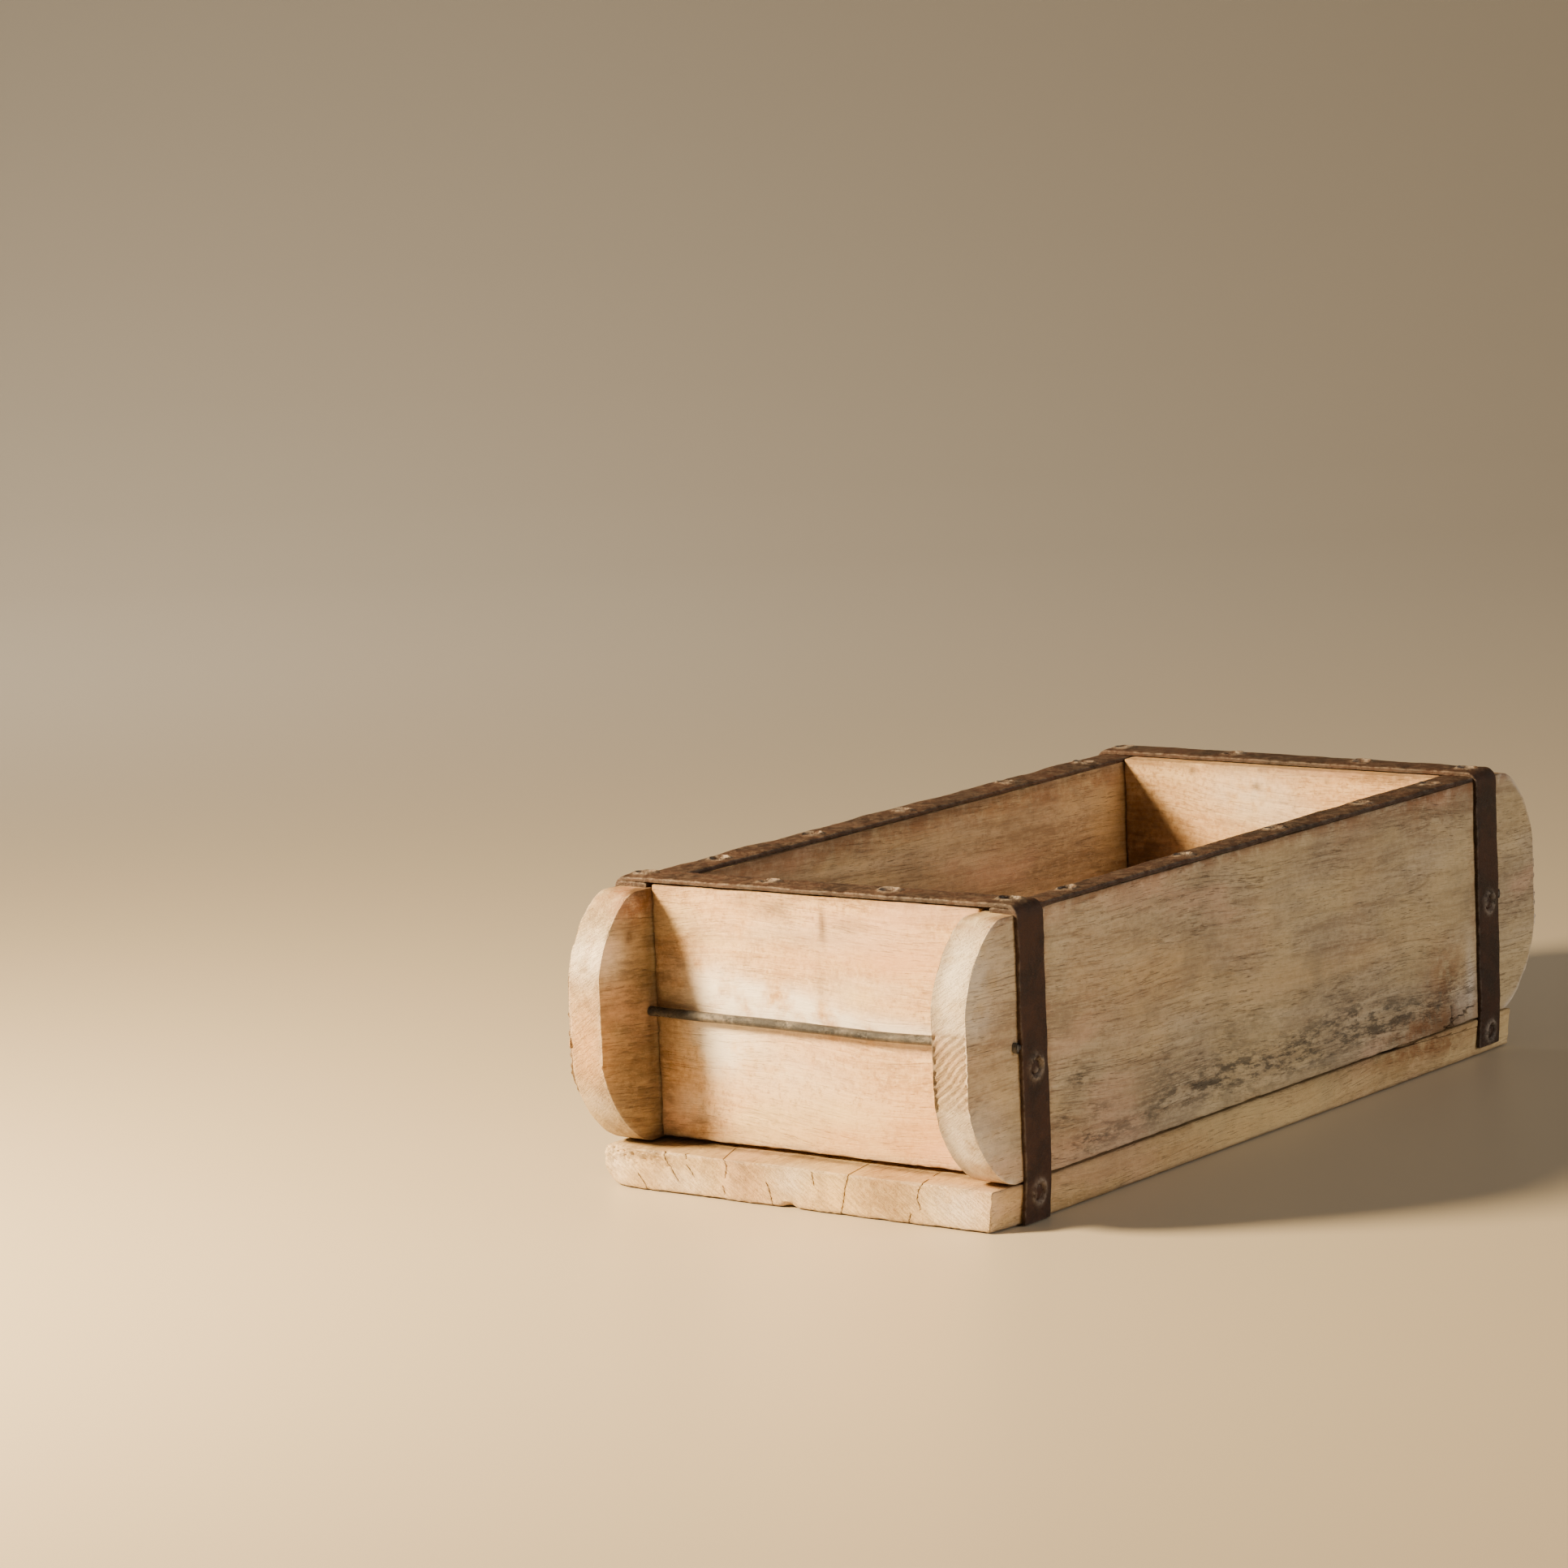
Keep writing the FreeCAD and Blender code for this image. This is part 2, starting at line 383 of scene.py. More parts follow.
def woodMaterial(name, look):
    # solid close-grained timber: fibres, growth lines and pores along the grain, then age and stains
    material, tree, shader = newMaterial(name)
    place = addNode(tree, "ShaderNodeTexCoord").outputs["Object"]
    turned = mapNode(tree, place, turn=(0, look["grainTilt"], look["grainTurn"]))
    bend = noiseNode(tree, mapNode(tree, turned, place=look["shift"]), 11.0, 1.0)
    lift = addNode(tree, "ShaderNodeCombineXYZ")
    plug(tree, lift.inputs["Z"], times(tree, bend, look["grainBend"]))
    bent = addNode(tree, "ShaderNodeVectorMath", operation="ADD")
    plug(tree, bent.inputs[0], turned)
    plug(tree, bent.inputs[1], lift.outputs[0])
    grain = mapNode(tree, bent.outputs[0], place=look["shift"])

    def pattern(kind, detail, roughness=0.55, vector=grain):
        return noiseNode(tree, vector, 1.0, detail, roughness, stretch=woodPatterns[kind])

    swell = pattern("swell", 4.0, 0.6)
    streak = pattern("streak", 4.0, 0.68)
    fibre = pattern("fibre", 3.0, 0.65)
    fleck = pattern("fleck", 2.0, 0.6)
    poreArea = pattern("poreArea", 2.0)
    pores = rangeNode(tree, pattern("pores", 2.0, 0.5), 0.60, 0.69)
    pores = times(tree, pores, rangeNode(tree, poreArea, 0.40, 0.60, 0.25, 1.0))

    # growth lines: where one stretched noise crosses a few fixed levels; they stop on the end grain
    phase = mathNode(tree, "FRACT", times(tree, pattern("figure", 2.0, 0.45), look["lineCount"]))
    fromLine = mathNode(tree, "ABSOLUTE", mathNode(tree, "SUBTRACT", phase, 0.5))
    endGrain = mathNode(tree, "ABSOLUTE", facingAlong(tree, "Y" if look["grainTurn"] else "X"))
    lines = rangeNode(tree, fromLine, 0.0, 0.16, 1.0, 0.0)
    for fade in (rangeNode(tree, fleck, 0.36, 0.60), rangeNode(tree, poreArea, 0.36, 0.60, 0.15, 1.0),
                 rangeNode(tree, endGrain, 0.45, 0.85, 1.0, 0.0)):
        lines = times(tree, lines, fade)
    sawMarks = pattern("sawMarks", 4.0, 0.65, mapNode(tree, place, turn=(look["sawTurn"], 0, 0)))
    sawn = times(tree, rangeNode(tree, endGrain, 0.45, 0.85), rangeNode(tree, sawMarks, 0.47, 0.66))

    tone = mathNode(tree, "MULTIPLY_ADD", swell, 0.36, times(tree, streak, 0.42))
    tone = mathNode(tree, "MULTIPLY_ADD", fibre, 0.22, tone)
    color = rampNode(tree, tone, (0.40, look["light"]), (0.50, look["middle"]), (0.61, look["dark"]))
    color = mixColor(tree, times(tree, lines, look["lineDepth"]), color, look["line"])

    # drifts of other tones, each where a noise leaves its middle value
    mottle = pattern("mottle", 3.0, 0.7, place)
    drift = pattern("drift", 3.0, 0.6, mapNode(tree, turned, place=(0.7, 0.2, 0.4)))
    for noiseValue, low, high, share, drifted in (
            (mottle, 0.50, 0.68, look["mottle"], look["light"]),
            (mottle, 0.50, 0.34, look["mottle"], look["dark"]),
            (drift, 0.50, 0.66, look["yellowness"], woodTones["straw"]),
            (drift, 0.48, 0.33, look["pinkness"], woodTones["pink"])):
        color = mixColor(tree, rangeNode(tree, noiseValue, low, high, 0, share), color, drifted)
    cloud = noiseNode(tree, mapNode(tree, place, place=look["shift"]), 24.0, 4.0, 0.62)
    warmCloud = rangeNode(tree, cloud, 0.48, 0.70, 0, look["warmth"])
    warm = mathNode(tree, "ADD", warmCloud, storedValue(tree, "warm"), clamp=True)
    color = mixColor(tree, times(tree, warm, 0.62), color, woodTones["orange"])
    greyCloud = noiseNode(tree, mapNode(tree, place, place=(0.31, 0.17, 0.05)), 31.0, 5.0, 0.68)
    greyShare = rangeNode(tree, greyCloud, 0.46, 0.70, 0, look["greyness"])
    color = mixColor(tree, greyShare, color, woodTones["grey"])

    # chalky bloom, on the arrises and wherever it is painted
    bloom = noiseNode(tree, place, 95.0, 4.0, 0.6)
    wornPale = times(tree, storedValue(tree, "wear"), look["chalkiness"])
    pale = mathNode(tree, "MAXIMUM", wornPale, storedValue(tree, "pale"))
    pale = times(tree, pale, rangeNode(tree, bloom, 0.24, 0.54), clamp=True)
    color = mixColor(tree, times(tree, pale, 0.92), color, woodTones["chalk"])
    color = mixColor(tree, times(tree, pores, look["poreDepth"]), color, woodTones["pore"])
    # The saw marks on the end grain are darkened in colour as well as bumped: painted shade of their grooves.
    color = mixColor(tree, times(tree, sawn, look["sawDepth"]), color, look["dark"])

    # stains painted on the points, broken up by noise; in some places the mould and grime colours are painted
    # shade
    speck = pattern("speck", 5.0, 0.75)
    blot = noiseNode(tree, place, 190.0, 5.0, 0.72)
    for stain, broken, depth in (("mould_and_shade", rangeNode(tree, speck, 0.42, 0.60), 0.80),
                                 ("rust", rangeNode(tree, blot, 0.34, 0.60), 0.72),
                                 ("grime_and_shade", rangeNode(tree, blot, 0.25, 0.55, 0.45, 1.0), 0.85)):
        spread = times(tree, storedValue(tree, stain), broken, clamp=True)
        color = mixColor(tree, times(tree, spread, depth), color, woodTones[stain])
    # The cracks are coloured near black: painted shade inside them.
    color = mixColor(tree, storedValue(tree, "crack"), color, woodTones["crack"])
    plug(tree, shader.inputs["Base Color"], color)

    plug(tree, shader.inputs["Roughness"], rangeNode(tree, fibre, 0.3, 0.7, 0.60, 0.80))
    shader.inputs["Specular IOR Level"].default_value = 0.30

    surface = bumpNode(tree, fibre, 0.0004, look["relief"])
    for groove, strength in ((pores, 0.7), (lines, look["relief"]), (sawn, 0.6)):
        surface = bumpNode(tree, mathNode(tree, "SUBTRACT", 1.0, groove), 0.0003, strength, surface)
    surface = bumpNode(tree, noiseNode(tree, place, 1300.0, 2.0), 0.00014, 0.6, surface)
    plug(tree, shader.inputs["Normal"], surface)
    return material


ironTones = {
    "dark": (0.022, 0.010, 0.006),
    "brown": (0.054, 0.023, 0.013),
    "rust": (0.095, 0.040, 0.022),
    "dust": (0.135, 0.098, 0.072),
    "bare": (0.62, 0.55, 0.48),
}


def ironMaterial(name, look):
    material, tree, shader = newMaterial(name)
    place = addNode(tree, "ShaderNodeTexCoord").outputs["Object"]
    patch = noiseNode(tree, place, 90.0, 5.0, 0.62)
    fine = noiseNode(tree, place, 850.0, 4.0, 0.6)
    blotch = noiseNode(tree, mapNode(tree, place, place=(0.2, 0.4, 0.1)), 330.0, 6.0, 0.78)
    color = mixColor(tree, rangeNode(tree, patch, 0.35, 0.65), look["dark"], look["brown"])
    rusty = rangeNode(tree, blotch, 0.50, 0.68, 0, look["rustiness"])
    color = mixColor(tree, rusty, color, ironTones["rust"])
    color = mixColor(tree, rangeNode(tree, fine, 0.50, 0.75, 0, 0.4), color, look["brown"])

    # dust lies on what faces up, and in patches painted on
    lying = rangeNode(tree, facingAlong(tree, "Z"), 0.5, 0.98)
    dusty = times(tree, lying, rangeNode(tree, blotch, 0.44, 0.60, 0.05, 1.0))
    dusty = times(tree, dusty, look["dustiness"])
    smear = times(tree, storedValue(tree, "dust"), rangeNode(tree, fine, 0.35, 0.6))
    color = mixColor(tree, mathNode(tree, "MAXIMUM", dusty, smear, clamp=True), color, ironTones["dust"])
    # Bare metal where wear is stored; on the hoop iron's punched lips it is partly a painted highlight.
    bare = times(tree, storedValue(tree, "wear"), rangeNode(tree, blotch, 0.38, 0.60), clamp=True)
    color = mixColor(tree, times(tree, bare, look["brightness"]), color, ironTones["bare"])
    plug(tree, shader.inputs["Base Color"], color)
    plug(tree, shader.inputs["Metallic"], times(tree, bare, 0.7))
    gloss = rangeNode(tree, patch, 0.3, 0.7, look["gloss"], look["gloss"] + 0.2)
    plug(tree, shader.inputs["Roughness"], mathNode(tree, "MULTIPLY_ADD", dusty, 0.25, gloss, clamp=True))
    shader.inputs["Specular IOR Level"].default_value = 0.32
    surface = bumpNode(tree, blotch, 0.0008, 0.8)
    surface = bumpNode(tree, fine, 0.00025, 0.9, surface)
    plug(tree, shader.inputs["Normal"], surface)
    return material


hoopLook = {"dark": ironTones["dark"], "brown": ironTones["brown"], "rustiness": 0.40, "dustiness": 0.45,
            "brightness": 0.80, "gloss": 0.40}
nailLook = {**hoopLook, "rustiness": 0.35, "dustiness": 0.10, "gloss": 0.32}
rodLook = {"dark": (0.018, 0.019, 0.023), "brown": (0.042, 0.041, 0.043), "rustiness": 0.03,
           "dustiness": 0.0, "brightness": 0.34, "gloss": 0.24}
hoopIron = ironMaterial("hoopIron", hoopLook)
nailIron = ironMaterial("nailIron", nailLook)
rodIron = ironMaterial("rodIron", rodLook)

plainLook = {"grainTurn": 0.0, "grainTilt": 0.0, "grainBend": 0.02, "shift": (0, 0, 0),
             "lineCount": 18.0, "lineDepth": 0.35, "line": (0.26, 0.17, 0.09),
             "light": (0.74, 0.52, 0.29), "middle": (0.62, 0.42, 0.22), "dark": (0.44, 0.27, 0.13),
             "warmth": 0.35, "greyness": 0.25, "chalkiness": 0.6, "poreDepth": 0.5, "relief": 0.5,
             "mottle": 0.45, "yellowness": 0.35, "pinkness": 0.35,
             "sawTurn": math.radians(35), "sawDepth": 0.22}


def woodLook(**changes):
    return {**plainLook, **changes}


rim = {"drop": 0.0014, "halfWidth": 0.0725, "halfLength": 0.1392}


def rimDrop(x, y):
    # how far the rim lies below its full height: most at the front left
    leftward = (y + rim["halfWidth"]) / (2 * rim["halfWidth"])
    forward = (rim["halfLength"] - x) / (2 * rim["halfLength"])
    return rim["drop"] * leftward * forward


# lengths over which sawn wood rises and falls, along the grain and across it, and the size of its chips
handSawn = {"swellAlong": 0.09, "swellAcross": 0.016, "rippleAlong": 0.012, "rippleAcross": 0.0022,
            "rippleShare": 0.22, "chip": 0.0055, "nick": 0.0018}


def roughen(piece, grainAxis, amount, edgeLoss, seed):
    # hand-sawn surface: long swells along the grain, small dents, and arrises worn unevenly
    points, normals = readPoints(piece), readNormals(piece)
    share = edgeShare(piece, 2)
    stretch = np.full(3, handSawn["swellAcross"])
    stretch[grainAxis] = handSawn["swellAlong"]
    swell = noiseAt(points, stretch, seed)
    short = np.full(3, handSawn["rippleAcross"])
    short[grainAxis] = handSawn["rippleAlong"]
    ripple = noiseAt(points, short, seed + 5)
    chips = np.clip(noiseAt(points, handSawn["chip"], seed + 9) + 0.15, 0, 1)
    nicks = np.clip(noiseAt(points, handSawn["nick"], seed + 13), 0, 1)
    move = amount * (swell + handSawn["rippleShare"] * ripple) - edgeLoss * share * (chips + 0.5 * nicks)
    writePoints(piece, points + normals * move[:, None])
    storeValue(piece, "wear", edgeShare(piece, 3))
    for name in ("mould_and_shade", "rust", "grime_and_shade", "crack", "pale", "warm"):
        storeValue(piece, name, np.zeros(len(points)))


def maskWear(piece, keep):
    # no chalky wear where another piece covers the arris
    storeValue(piece, "wear", readValue(piece, "wear") * keep)


sides = {"shoulder": 0.146, "heel": 0.143, "flatLow": 0.041, "flatHigh": 0.066, "fullness": 1.58,
         "seam": 0.0004, "fineRows": 0.30, "fineShare": 0.11, "rowFade": 0.012, "body": 0.78, "crowding": 1.9,
         "sawPitch": 0.0021, "sawDepth": 0.00060, "sawInset": 0.00025, "sawFade": 0.0012,
         "facetDrop": 0.0004, "facetSlope": 0.10, "tip": 0.1652}


def lobeHeights(x, tip, low, high):
    # the lowest and highest points of a side board at each place along it
    reachTop = ramp(np.abs(x), sides["shoulder"], tip)
    reachLow = ramp(np.abs(x), sides["heel"], tip)
    full = sides["fullness"]
    top = sides["flatHigh"] + (high - sides["flatHigh"]) * (1 - reachTop ** full) ** (1 / full)
    bottom = sides["flatLow"] - (sides["flatLow"] - low) * (1 - reachLow ** full) ** (1 / full)
    return bottom, top


def shapeSideBoard(node, side):
    low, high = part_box(node)
    board = addBox(node + "_worn", low, high)
    cutAlong(board, 0, 15, 15)
    cutAlong(board, 2, 8, 7)
    cutAlong(board, 1, 19)
    points = readPoints(board)
    tip, seat = high[0], sides["heel"]
    # columns crowd towards the tip, so that the lobe's edge is evenly divided
    share = points[:, 0] / tip
    body = sides["body"]
    beyond = ramp(np.abs(share), body, 1)
    crowded = seat + (tip - seat) * (1 - (1 - beyond) ** sides["crowding"])
    points[:, 0] = np.where(np.abs(share) > body, np.sign(share) * crowded, share / body * seat)
    bottom, top = lobeHeights(points[:, 0], tip, low[2] + sides["seam"], high[2])
    # rows crowd towards the bottom, where the seam and its splits are
    up = (points[:, 2] - low[2]) / (high[2] - low[2])
    fineRows, fineShare = sides["fineRows"], sides["fineShare"]
    spaced = np.where(up < fineRows, up / fineRows * fineShare,
                      fineShare + (up - fineRows) / (1 - fineRows) * (1 - fineShare))
    onBody = ramp(np.abs(points[:, 0]), seat, seat - sides["rowFade"])
    up = up + (spaced - up) * onBody
    points[:, 2] = bottom + up * (top - bottom)
    raised = ramp(points[:, 2], 0.03, 0.09)
    points[:, 2] -= rimDrop(points[:, 0], side * rim["halfWidth"]) * raised
    writePoints(board, points)
    bevelEdges(board, 0.0005, 2)
    return board


def sawLobeEdge(board, side, end, low, high):
    # slanting marks of a coarse saw over part of a lobe's rounded edge, set in a little from the rest
    points, normals = readPoints(board), readNormals(board)
    slant = points[:, 2] * 0.72 - side * points[:, 1] * 0.69
    phase = slant / sides["sawPitch"] + 0.5 * noiseAt(points, 0.009, 3.0)
    teeth = np.abs(phase - np.floor(phase) - 0.5) * 2
    facing = ramp(end * normals[:, 0], 0.5, 0.8)
    inside = np.minimum(points[:, 2] - low, high - points[:, 2]) / sides["sawFade"]
    mask = facing * np.clip(inside, 0, 1)
    depth = mask * (sides["sawDepth"] * teeth + sides["sawInset"])
    writePoints(board, points - normals * depth[:, None])
    return mask * np.clip(teeth * 1.6 - 0.5, 0, 1)


def facetLobe(board, end, height):
    # planes a shallow facet off a lobe's edge, below a given height
    points = readPoints(board)
    reach = end * points[:, 0]
    below = np.clip(height - points[:, 2], 0, 1)
    limit = sides["tip"] - sides["facetDrop"] - sides["facetSlope"] * below
    planed = np.minimum(reach, limit + 0.25 * (reach - limit))
    points[:, 0] = end * np.where((reach > 0.150) & (below > 0), planed, reach)
    writePoints(board, points)


rightBoard = shapeSideBoard("right_side_board", -1)
roughen(rightBoard, 0, 0.00024, 0.0007, 3.0)
sawn = sawLobeEdge(rightBoard, -1, -1, 0.037, 0.061)
facetLobe(rightBoard, -1, 0.037)
leftBoard = shapeSideBoard("left_side_board", 1)
roughen(leftBoard, 0, 0.00024, 0.0008, 31.0)
sawLobeEdge(leftBoard, 1, 1, 0.030, 0.058)
for board in (rightBoard, leftBoard):
    heights, reach = readPoints(board)[:, 2], np.abs(readPoints(board)[:, 0])
    onLobe = ramp(reach, 0.1405, 0.1445)
    maskWear(board, np.maximum(onLobe, 0.25 * ramp(heights, 0.05, 0.07)))
print("side boards shaped")

outer, inner = 72.5, 60.5
sideMould = [(-88, 18.5, 22, 3.6, 0.65), (-60, 22, 18, 5.5, 0.75), (-62, 31, 14, 5.0, 0.50),
             (-33, 25, 18, 7.0, 0.95), (-6, 22, 20, 6.5, 1.0), (22, 23, 20, 7.0, 1.0),
             (46, 27, 18, 8.0, 0.85), (68, 23, 18, 7.0, 1.0), (90, 20, 16, 6.0, 0.95),
             (108, 26, 12, 8.0, 0.80), (119, 22, 8, 7.0, 0.60), (-98, 27, 8, 5.0, 0.65)]
rightMould = [(-109, 38.5, 7, 3.4, 1.0), (-118, 29, 6, 3.4, 0.85), (-106, 18.5, 10, 3.5, 0.70),
              (-20, 38, 40, 4.0, 0.40), (60, 40, 40, 4.0, 0.35), (-60, 84, 16, 2.0, 0.25),
              (-150, 52, 6, 12.0, 0.22), (-136, 52.5, 3, 2.2, 0.95)]
paintSpots(rightBoard, "mould_and_shade", onFace(1, -outer, *sideMould, *rightMould))
paintSpots(rightBoard, "rust",
           onFace(1, -outer, (0, 91.5, 400, 3.0, 0.85), depth=6) +
           onFace(1, -outer, (106, 32, 13, 10, 0.80), (100, 86, 24, 7.0, 0.45), (-124.5, 60, 2.0, 60, 0.45),
                  (124.5, 50, 2.0, 60, 0.40), (92, 16, 28, 4.5, 1.0)) +
           [((-10, -inner, 91), (400, 6, 6.0), 0.60), ((-144, -inner, 80), (8, 4, 7.0), 0.6)])
# The band over the whole inner face darkens it as painted shade for the inside of the box; the lines along
# the seam and under the strip are grime.
paintSpots(rightBoard, "grime_and_shade",
           onFace(1, -outer, (0, 12.6, 400, 0.9, 0.70), (0, 91.6, 400, 1.0, 0.80), depth=3) +
           onFace(1, -outer, (60, 82, 60, 9, 0.18), (104, 14.5, 18, 3, 0.55), (112, 20, 8, 5, 0.35)) +
           onFace(1, -inner, (0, 50, 400, 60, 0.85), depth=3))
# The grooves of the saw marks on the near lobe are darkened: painted shade in the grooves.
storeValue(rightBoard, "grime_and_shade", np.maximum(readValue(rightBoard, "grime_and_shade"), 0.50 * sawn))
paintSpots(rightBoard, "pale",
           onFace(1, -66, (-160, 78, 12, 14, 0.80), (-160, 26, 12, 12, 0.75), (-160, 63, 8, 4, 0.6),
                  depth=9) +
           onFace(1, -outer, (115, 18, 6, 7, 0.55), (122, 26, 3, 12, 0.6)))
paintSpots(rightBoard, "warm",
           onFace(1, -outer, (-152, 50, 9, 40, 0.22), (-115, 20, 14, 8.0, 0.35), (20, 46, 60, 6.0, 0.25),
                  (-60, 60, 50, 10.0, 0.25)) +
           [((-163, -66, 50), (6, 8, 10), 0.25)])
rightSplits = [([(104.8, 14.0), (109, 14.6), (113, 16.4), (116.2, 15.8), (119, 18.0), (123.6, 17.6)],
                0.0005, 0.0016),
               ([(108.3, 20.6), (108.8, 17.4), (109, 14.8)], 0.0006, 0.0010)]
for route, width, depth in rightSplits:
    rightSkin = readPoints(rightBoard)[:, 1] < -0.0715
    openCrack(rightBoard, rightSkin, (0, 2), route, width, depth, (0, 1, 0))

leftMould = [(-x, z, sizeX, sizeZ, 0.8 * strength) for x, z, sizeX, sizeZ, strength in sideMould]
# The broad patch on the inner face of the left lobe, near x -150, is painted shade on that shaded face; the
# rest is mould.
paintSpots(leftBoard, "mould_and_shade",
           onFace(1, outer, *leftMould) +
           [((-164, 66, 58), (6, 8, 12), 0.35), ((-160, 66, 32), (6, 8, 6), 0.30),
            ((-150, inner, 52), (10, 2, 34), 0.60)])
paintSpots(leftBoard, "rust",
           onFace(1, inner, (0, 88, 400, 4.5, 0.70), (-100, 60, 20, 26, 0.20), (30, 70, 50, 9.0, 0.18)) +
           [((0, outer, 91), (400, 6, 3.0), 0.80), ((-146, inner, 84), (7, 3, 5), 0.55),
            ((-144, 65, 91), (6, 6, 5), 1.0)])
# The patch on the inner face of the left lobe and the line in its corner with the end board are painted
# shade; the rest is grime.
paintSpots(leftBoard, "grime_and_shade",
           onFace(1, inner, (0, 90.5, 400, 2.0, 0.75), (0, 14, 400, 2.5, 0.70), (-141, 52, 1.6, 40, 0.50),
                  (-150, 77, 1.8, 1.5, 0.95), depth=3) +
           [((-142, 62, 90), (3.5, 3, 5), 1.0), ((0, outer, 12.6), (400, 3, 1.0), 0.70),
            ((-148, inner, 52), (10, 2.5, 36), 0.50)])
# The pale patch at z 72 on the left lobe's edge is partly chalky bloom and partly a painted highlight.
paintSpots(leftBoard, "pale", [((-160, 66, 72), (9, 9, 7), 0.95), ((-158, 68, 28), (8, 6, 6), 0.35),
                               ((160, 66, 60), (10, 9, 22), 0.50)])
paintSpots(leftBoard, "warm", [((-164, 67, 46), (6, 7, 15), 0.95), ((0, inner, 55), (110, 3, 30), 0.10)])

sideLook = woodLook(light=(0.60, 0.49, 0.34), middle=(0.47, 0.37, 0.245), dark=(0.29, 0.21, 0.135),
                    greyness=0.42, warmth=0.15, lineCount=21.0, lineDepth=0.62, line=(0.13, 0.09, 0.06),
                    poreDepth=0.5, grainTilt=math.radians(-2.5), grainBend=0.009)
rightLook = {**sideLook, "shift": (0.02, 0.0, 0.0)}
# The left board's darker tones are painted shade for its inner face, which lies in shade; its other changes
# are tone.
leftLook = {**sideLook, "shift": (0.31, 0.05, 0.02), "greyness": 0.30, "light": (0.54, 0.43, 0.28),
            "middle": (0.39, 0.30, 0.185), "dark": (0.23, 0.165, 0.10), "chalkiness": 0.22, "yellowness": 0.5}
finishPiece(rightBoard, woodMaterial("rightWood", rightLook), "bleached_wood", "right_side_board")
finishPiece(leftBoard, woodMaterial("leftWood", leftLook), "bleached_wood", "left_side_board")


def shapeBlock(node, cuts, inset=(0, 0, 0)):
    low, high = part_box(node)
    low = [a + b for a, b in zip(low, inset)]
    high = [a - b for a, b in zip(high, inset)]
    block = addBox(node + "_worn", low, high)
    for axis, counts in enumerate(cuts):
        cutAlong(block, axis, *counts)
    return block


def shapeEndBoard(node, seed):
    board = shapeBlock(node, ((11,), (15, 7), (9, 7)), (0, 0.0004, 0))
    points = readPoints(board)
    points[:, 2] -= rimDrop(points[:, 0], points[:, 1]) * ramp(points[:, 2], 0.02, 0.09)
    writePoints(board, points)
    bevelEdges(board, 0.0005, 2)
    roughen(board, 1, 0.00022, 0.0006, seed)
    reach, heights = np.abs(readPoints(board)[:, 1]), readPoints(board)[:, 2]
    shown = ramp(reach, 0.060, 0.059) * ramp(heights, 0.088, 0.084)
    maskWear(board, 0.6 * shown)
    return board


frontBoard = shapeEndBoard("front_end_board", 51.0)
rearBoard = shapeEndBoard("rear_end_board", 71.0)
endOuter, endInner = 138.6, 121.6
paintSpots(frontBoard, "pale",
           onFace(0, -endOuter, (30, 58.5, 18, 6, 1.2), (12, 57.5, 18, 5.5, 1.0), (42, 46, 8, 7, 0.75),
                  (40, 66, 12, 5, 0.45), (0, 55, 24, 4, 0.80), (-34, 53, 24, 3.6, 0.75),
                  (30, 45, 12, 5, 0.55), (36, 38, 8, 6, 0.55), (10, 80, 40, 5, 0.25), (47, 25, 8, 5, 0.45),
                  (12, 38, 22, 8, 0.30), (-20, 66, 18, 4, 0.25)))
paintSpots(frontBoard, "warm",
           onFace(0, -endOuter, (-40, 26, 17, 13, 0.95), (-31, 75, 20, 8, 0.75), (-9, 19, 26, 5, 0.65),
                  (30, 36, 10, 7, 0.40), (0, 44, 26, 5, 0.30), (8, 72, 10, 8, 0.35), (30, 82, 14, 6, 0.45)))
# The grime on the outer face is partly real grime and partly painted shade: the patches from y 50 to 62
# darken the shadow the left lobe casts on the board.
paintSpots(frontBoard, "grime_and_shade",
           onFace(0, -endOuter, (13, 87, 7, 3.2, 0.62), (-3.5, 84, 1.4, 5, 0.85), (-14, 84, 7, 2.4, 0.50),
                  (26, 89, 6, 3, 0.45), (4, 79, 20, 3, 0.30), (45, 76, 6, 9, 0.35), (-44, 88, 12, 2.4, 0.35),
                  (30, 17, 20, 3, 0.32), (-2, 66, 1.6, 9, 0.30), (0, 93, 400, 2.6, 0.75),
                  (0, 13.8, 400, 1.8, 0.65), (-60.5, 50, 1.2, 40, 0.70), (60.5, 50, 1.4, 40, 0.80),
                  (60, 56, 9, 40, 0.75), (50, 62, 6, 14, 0.25)) +
           onFace(0, -endInner, (0, 14, 400, 3, 0.70)))
# The mould patch at y 54, z 66 on the outer face is painted shade in the left lobe's shadow; the rest is
# mould.
paintSpots(frontBoard, "mould_and_shade",
           onFace(0, -endOuter, (45, 18.6, 12, 3, 0.60), (57.7, 27, 3, 14, 0.60), (54, 66, 8, 22, 0.55),
                  (20, 22, 16, 3, 0.35), (12, 87, 12, 3, 0.45)) +
           onFace(0, -endInner, (10, 40, 30, 10, 0.40)))
paintSpots(rearBoard, "pale",
           onFace(0, endInner, (10, 84, 16, 8, 0.55), (-10, 70, 16, 10, 0.35)) +
           onFace(0, endOuter, (20, 50, 20, 14, 0.50)))
paintSpots(rearBoard, "warm",
           onFace(0, endInner, (30, 60, 20, 20, 0.40), (-35, 80, 20, 9, 0.30)) +
           onFace(0, endOuter, (-20, 36, 30, 12, 0.50)))
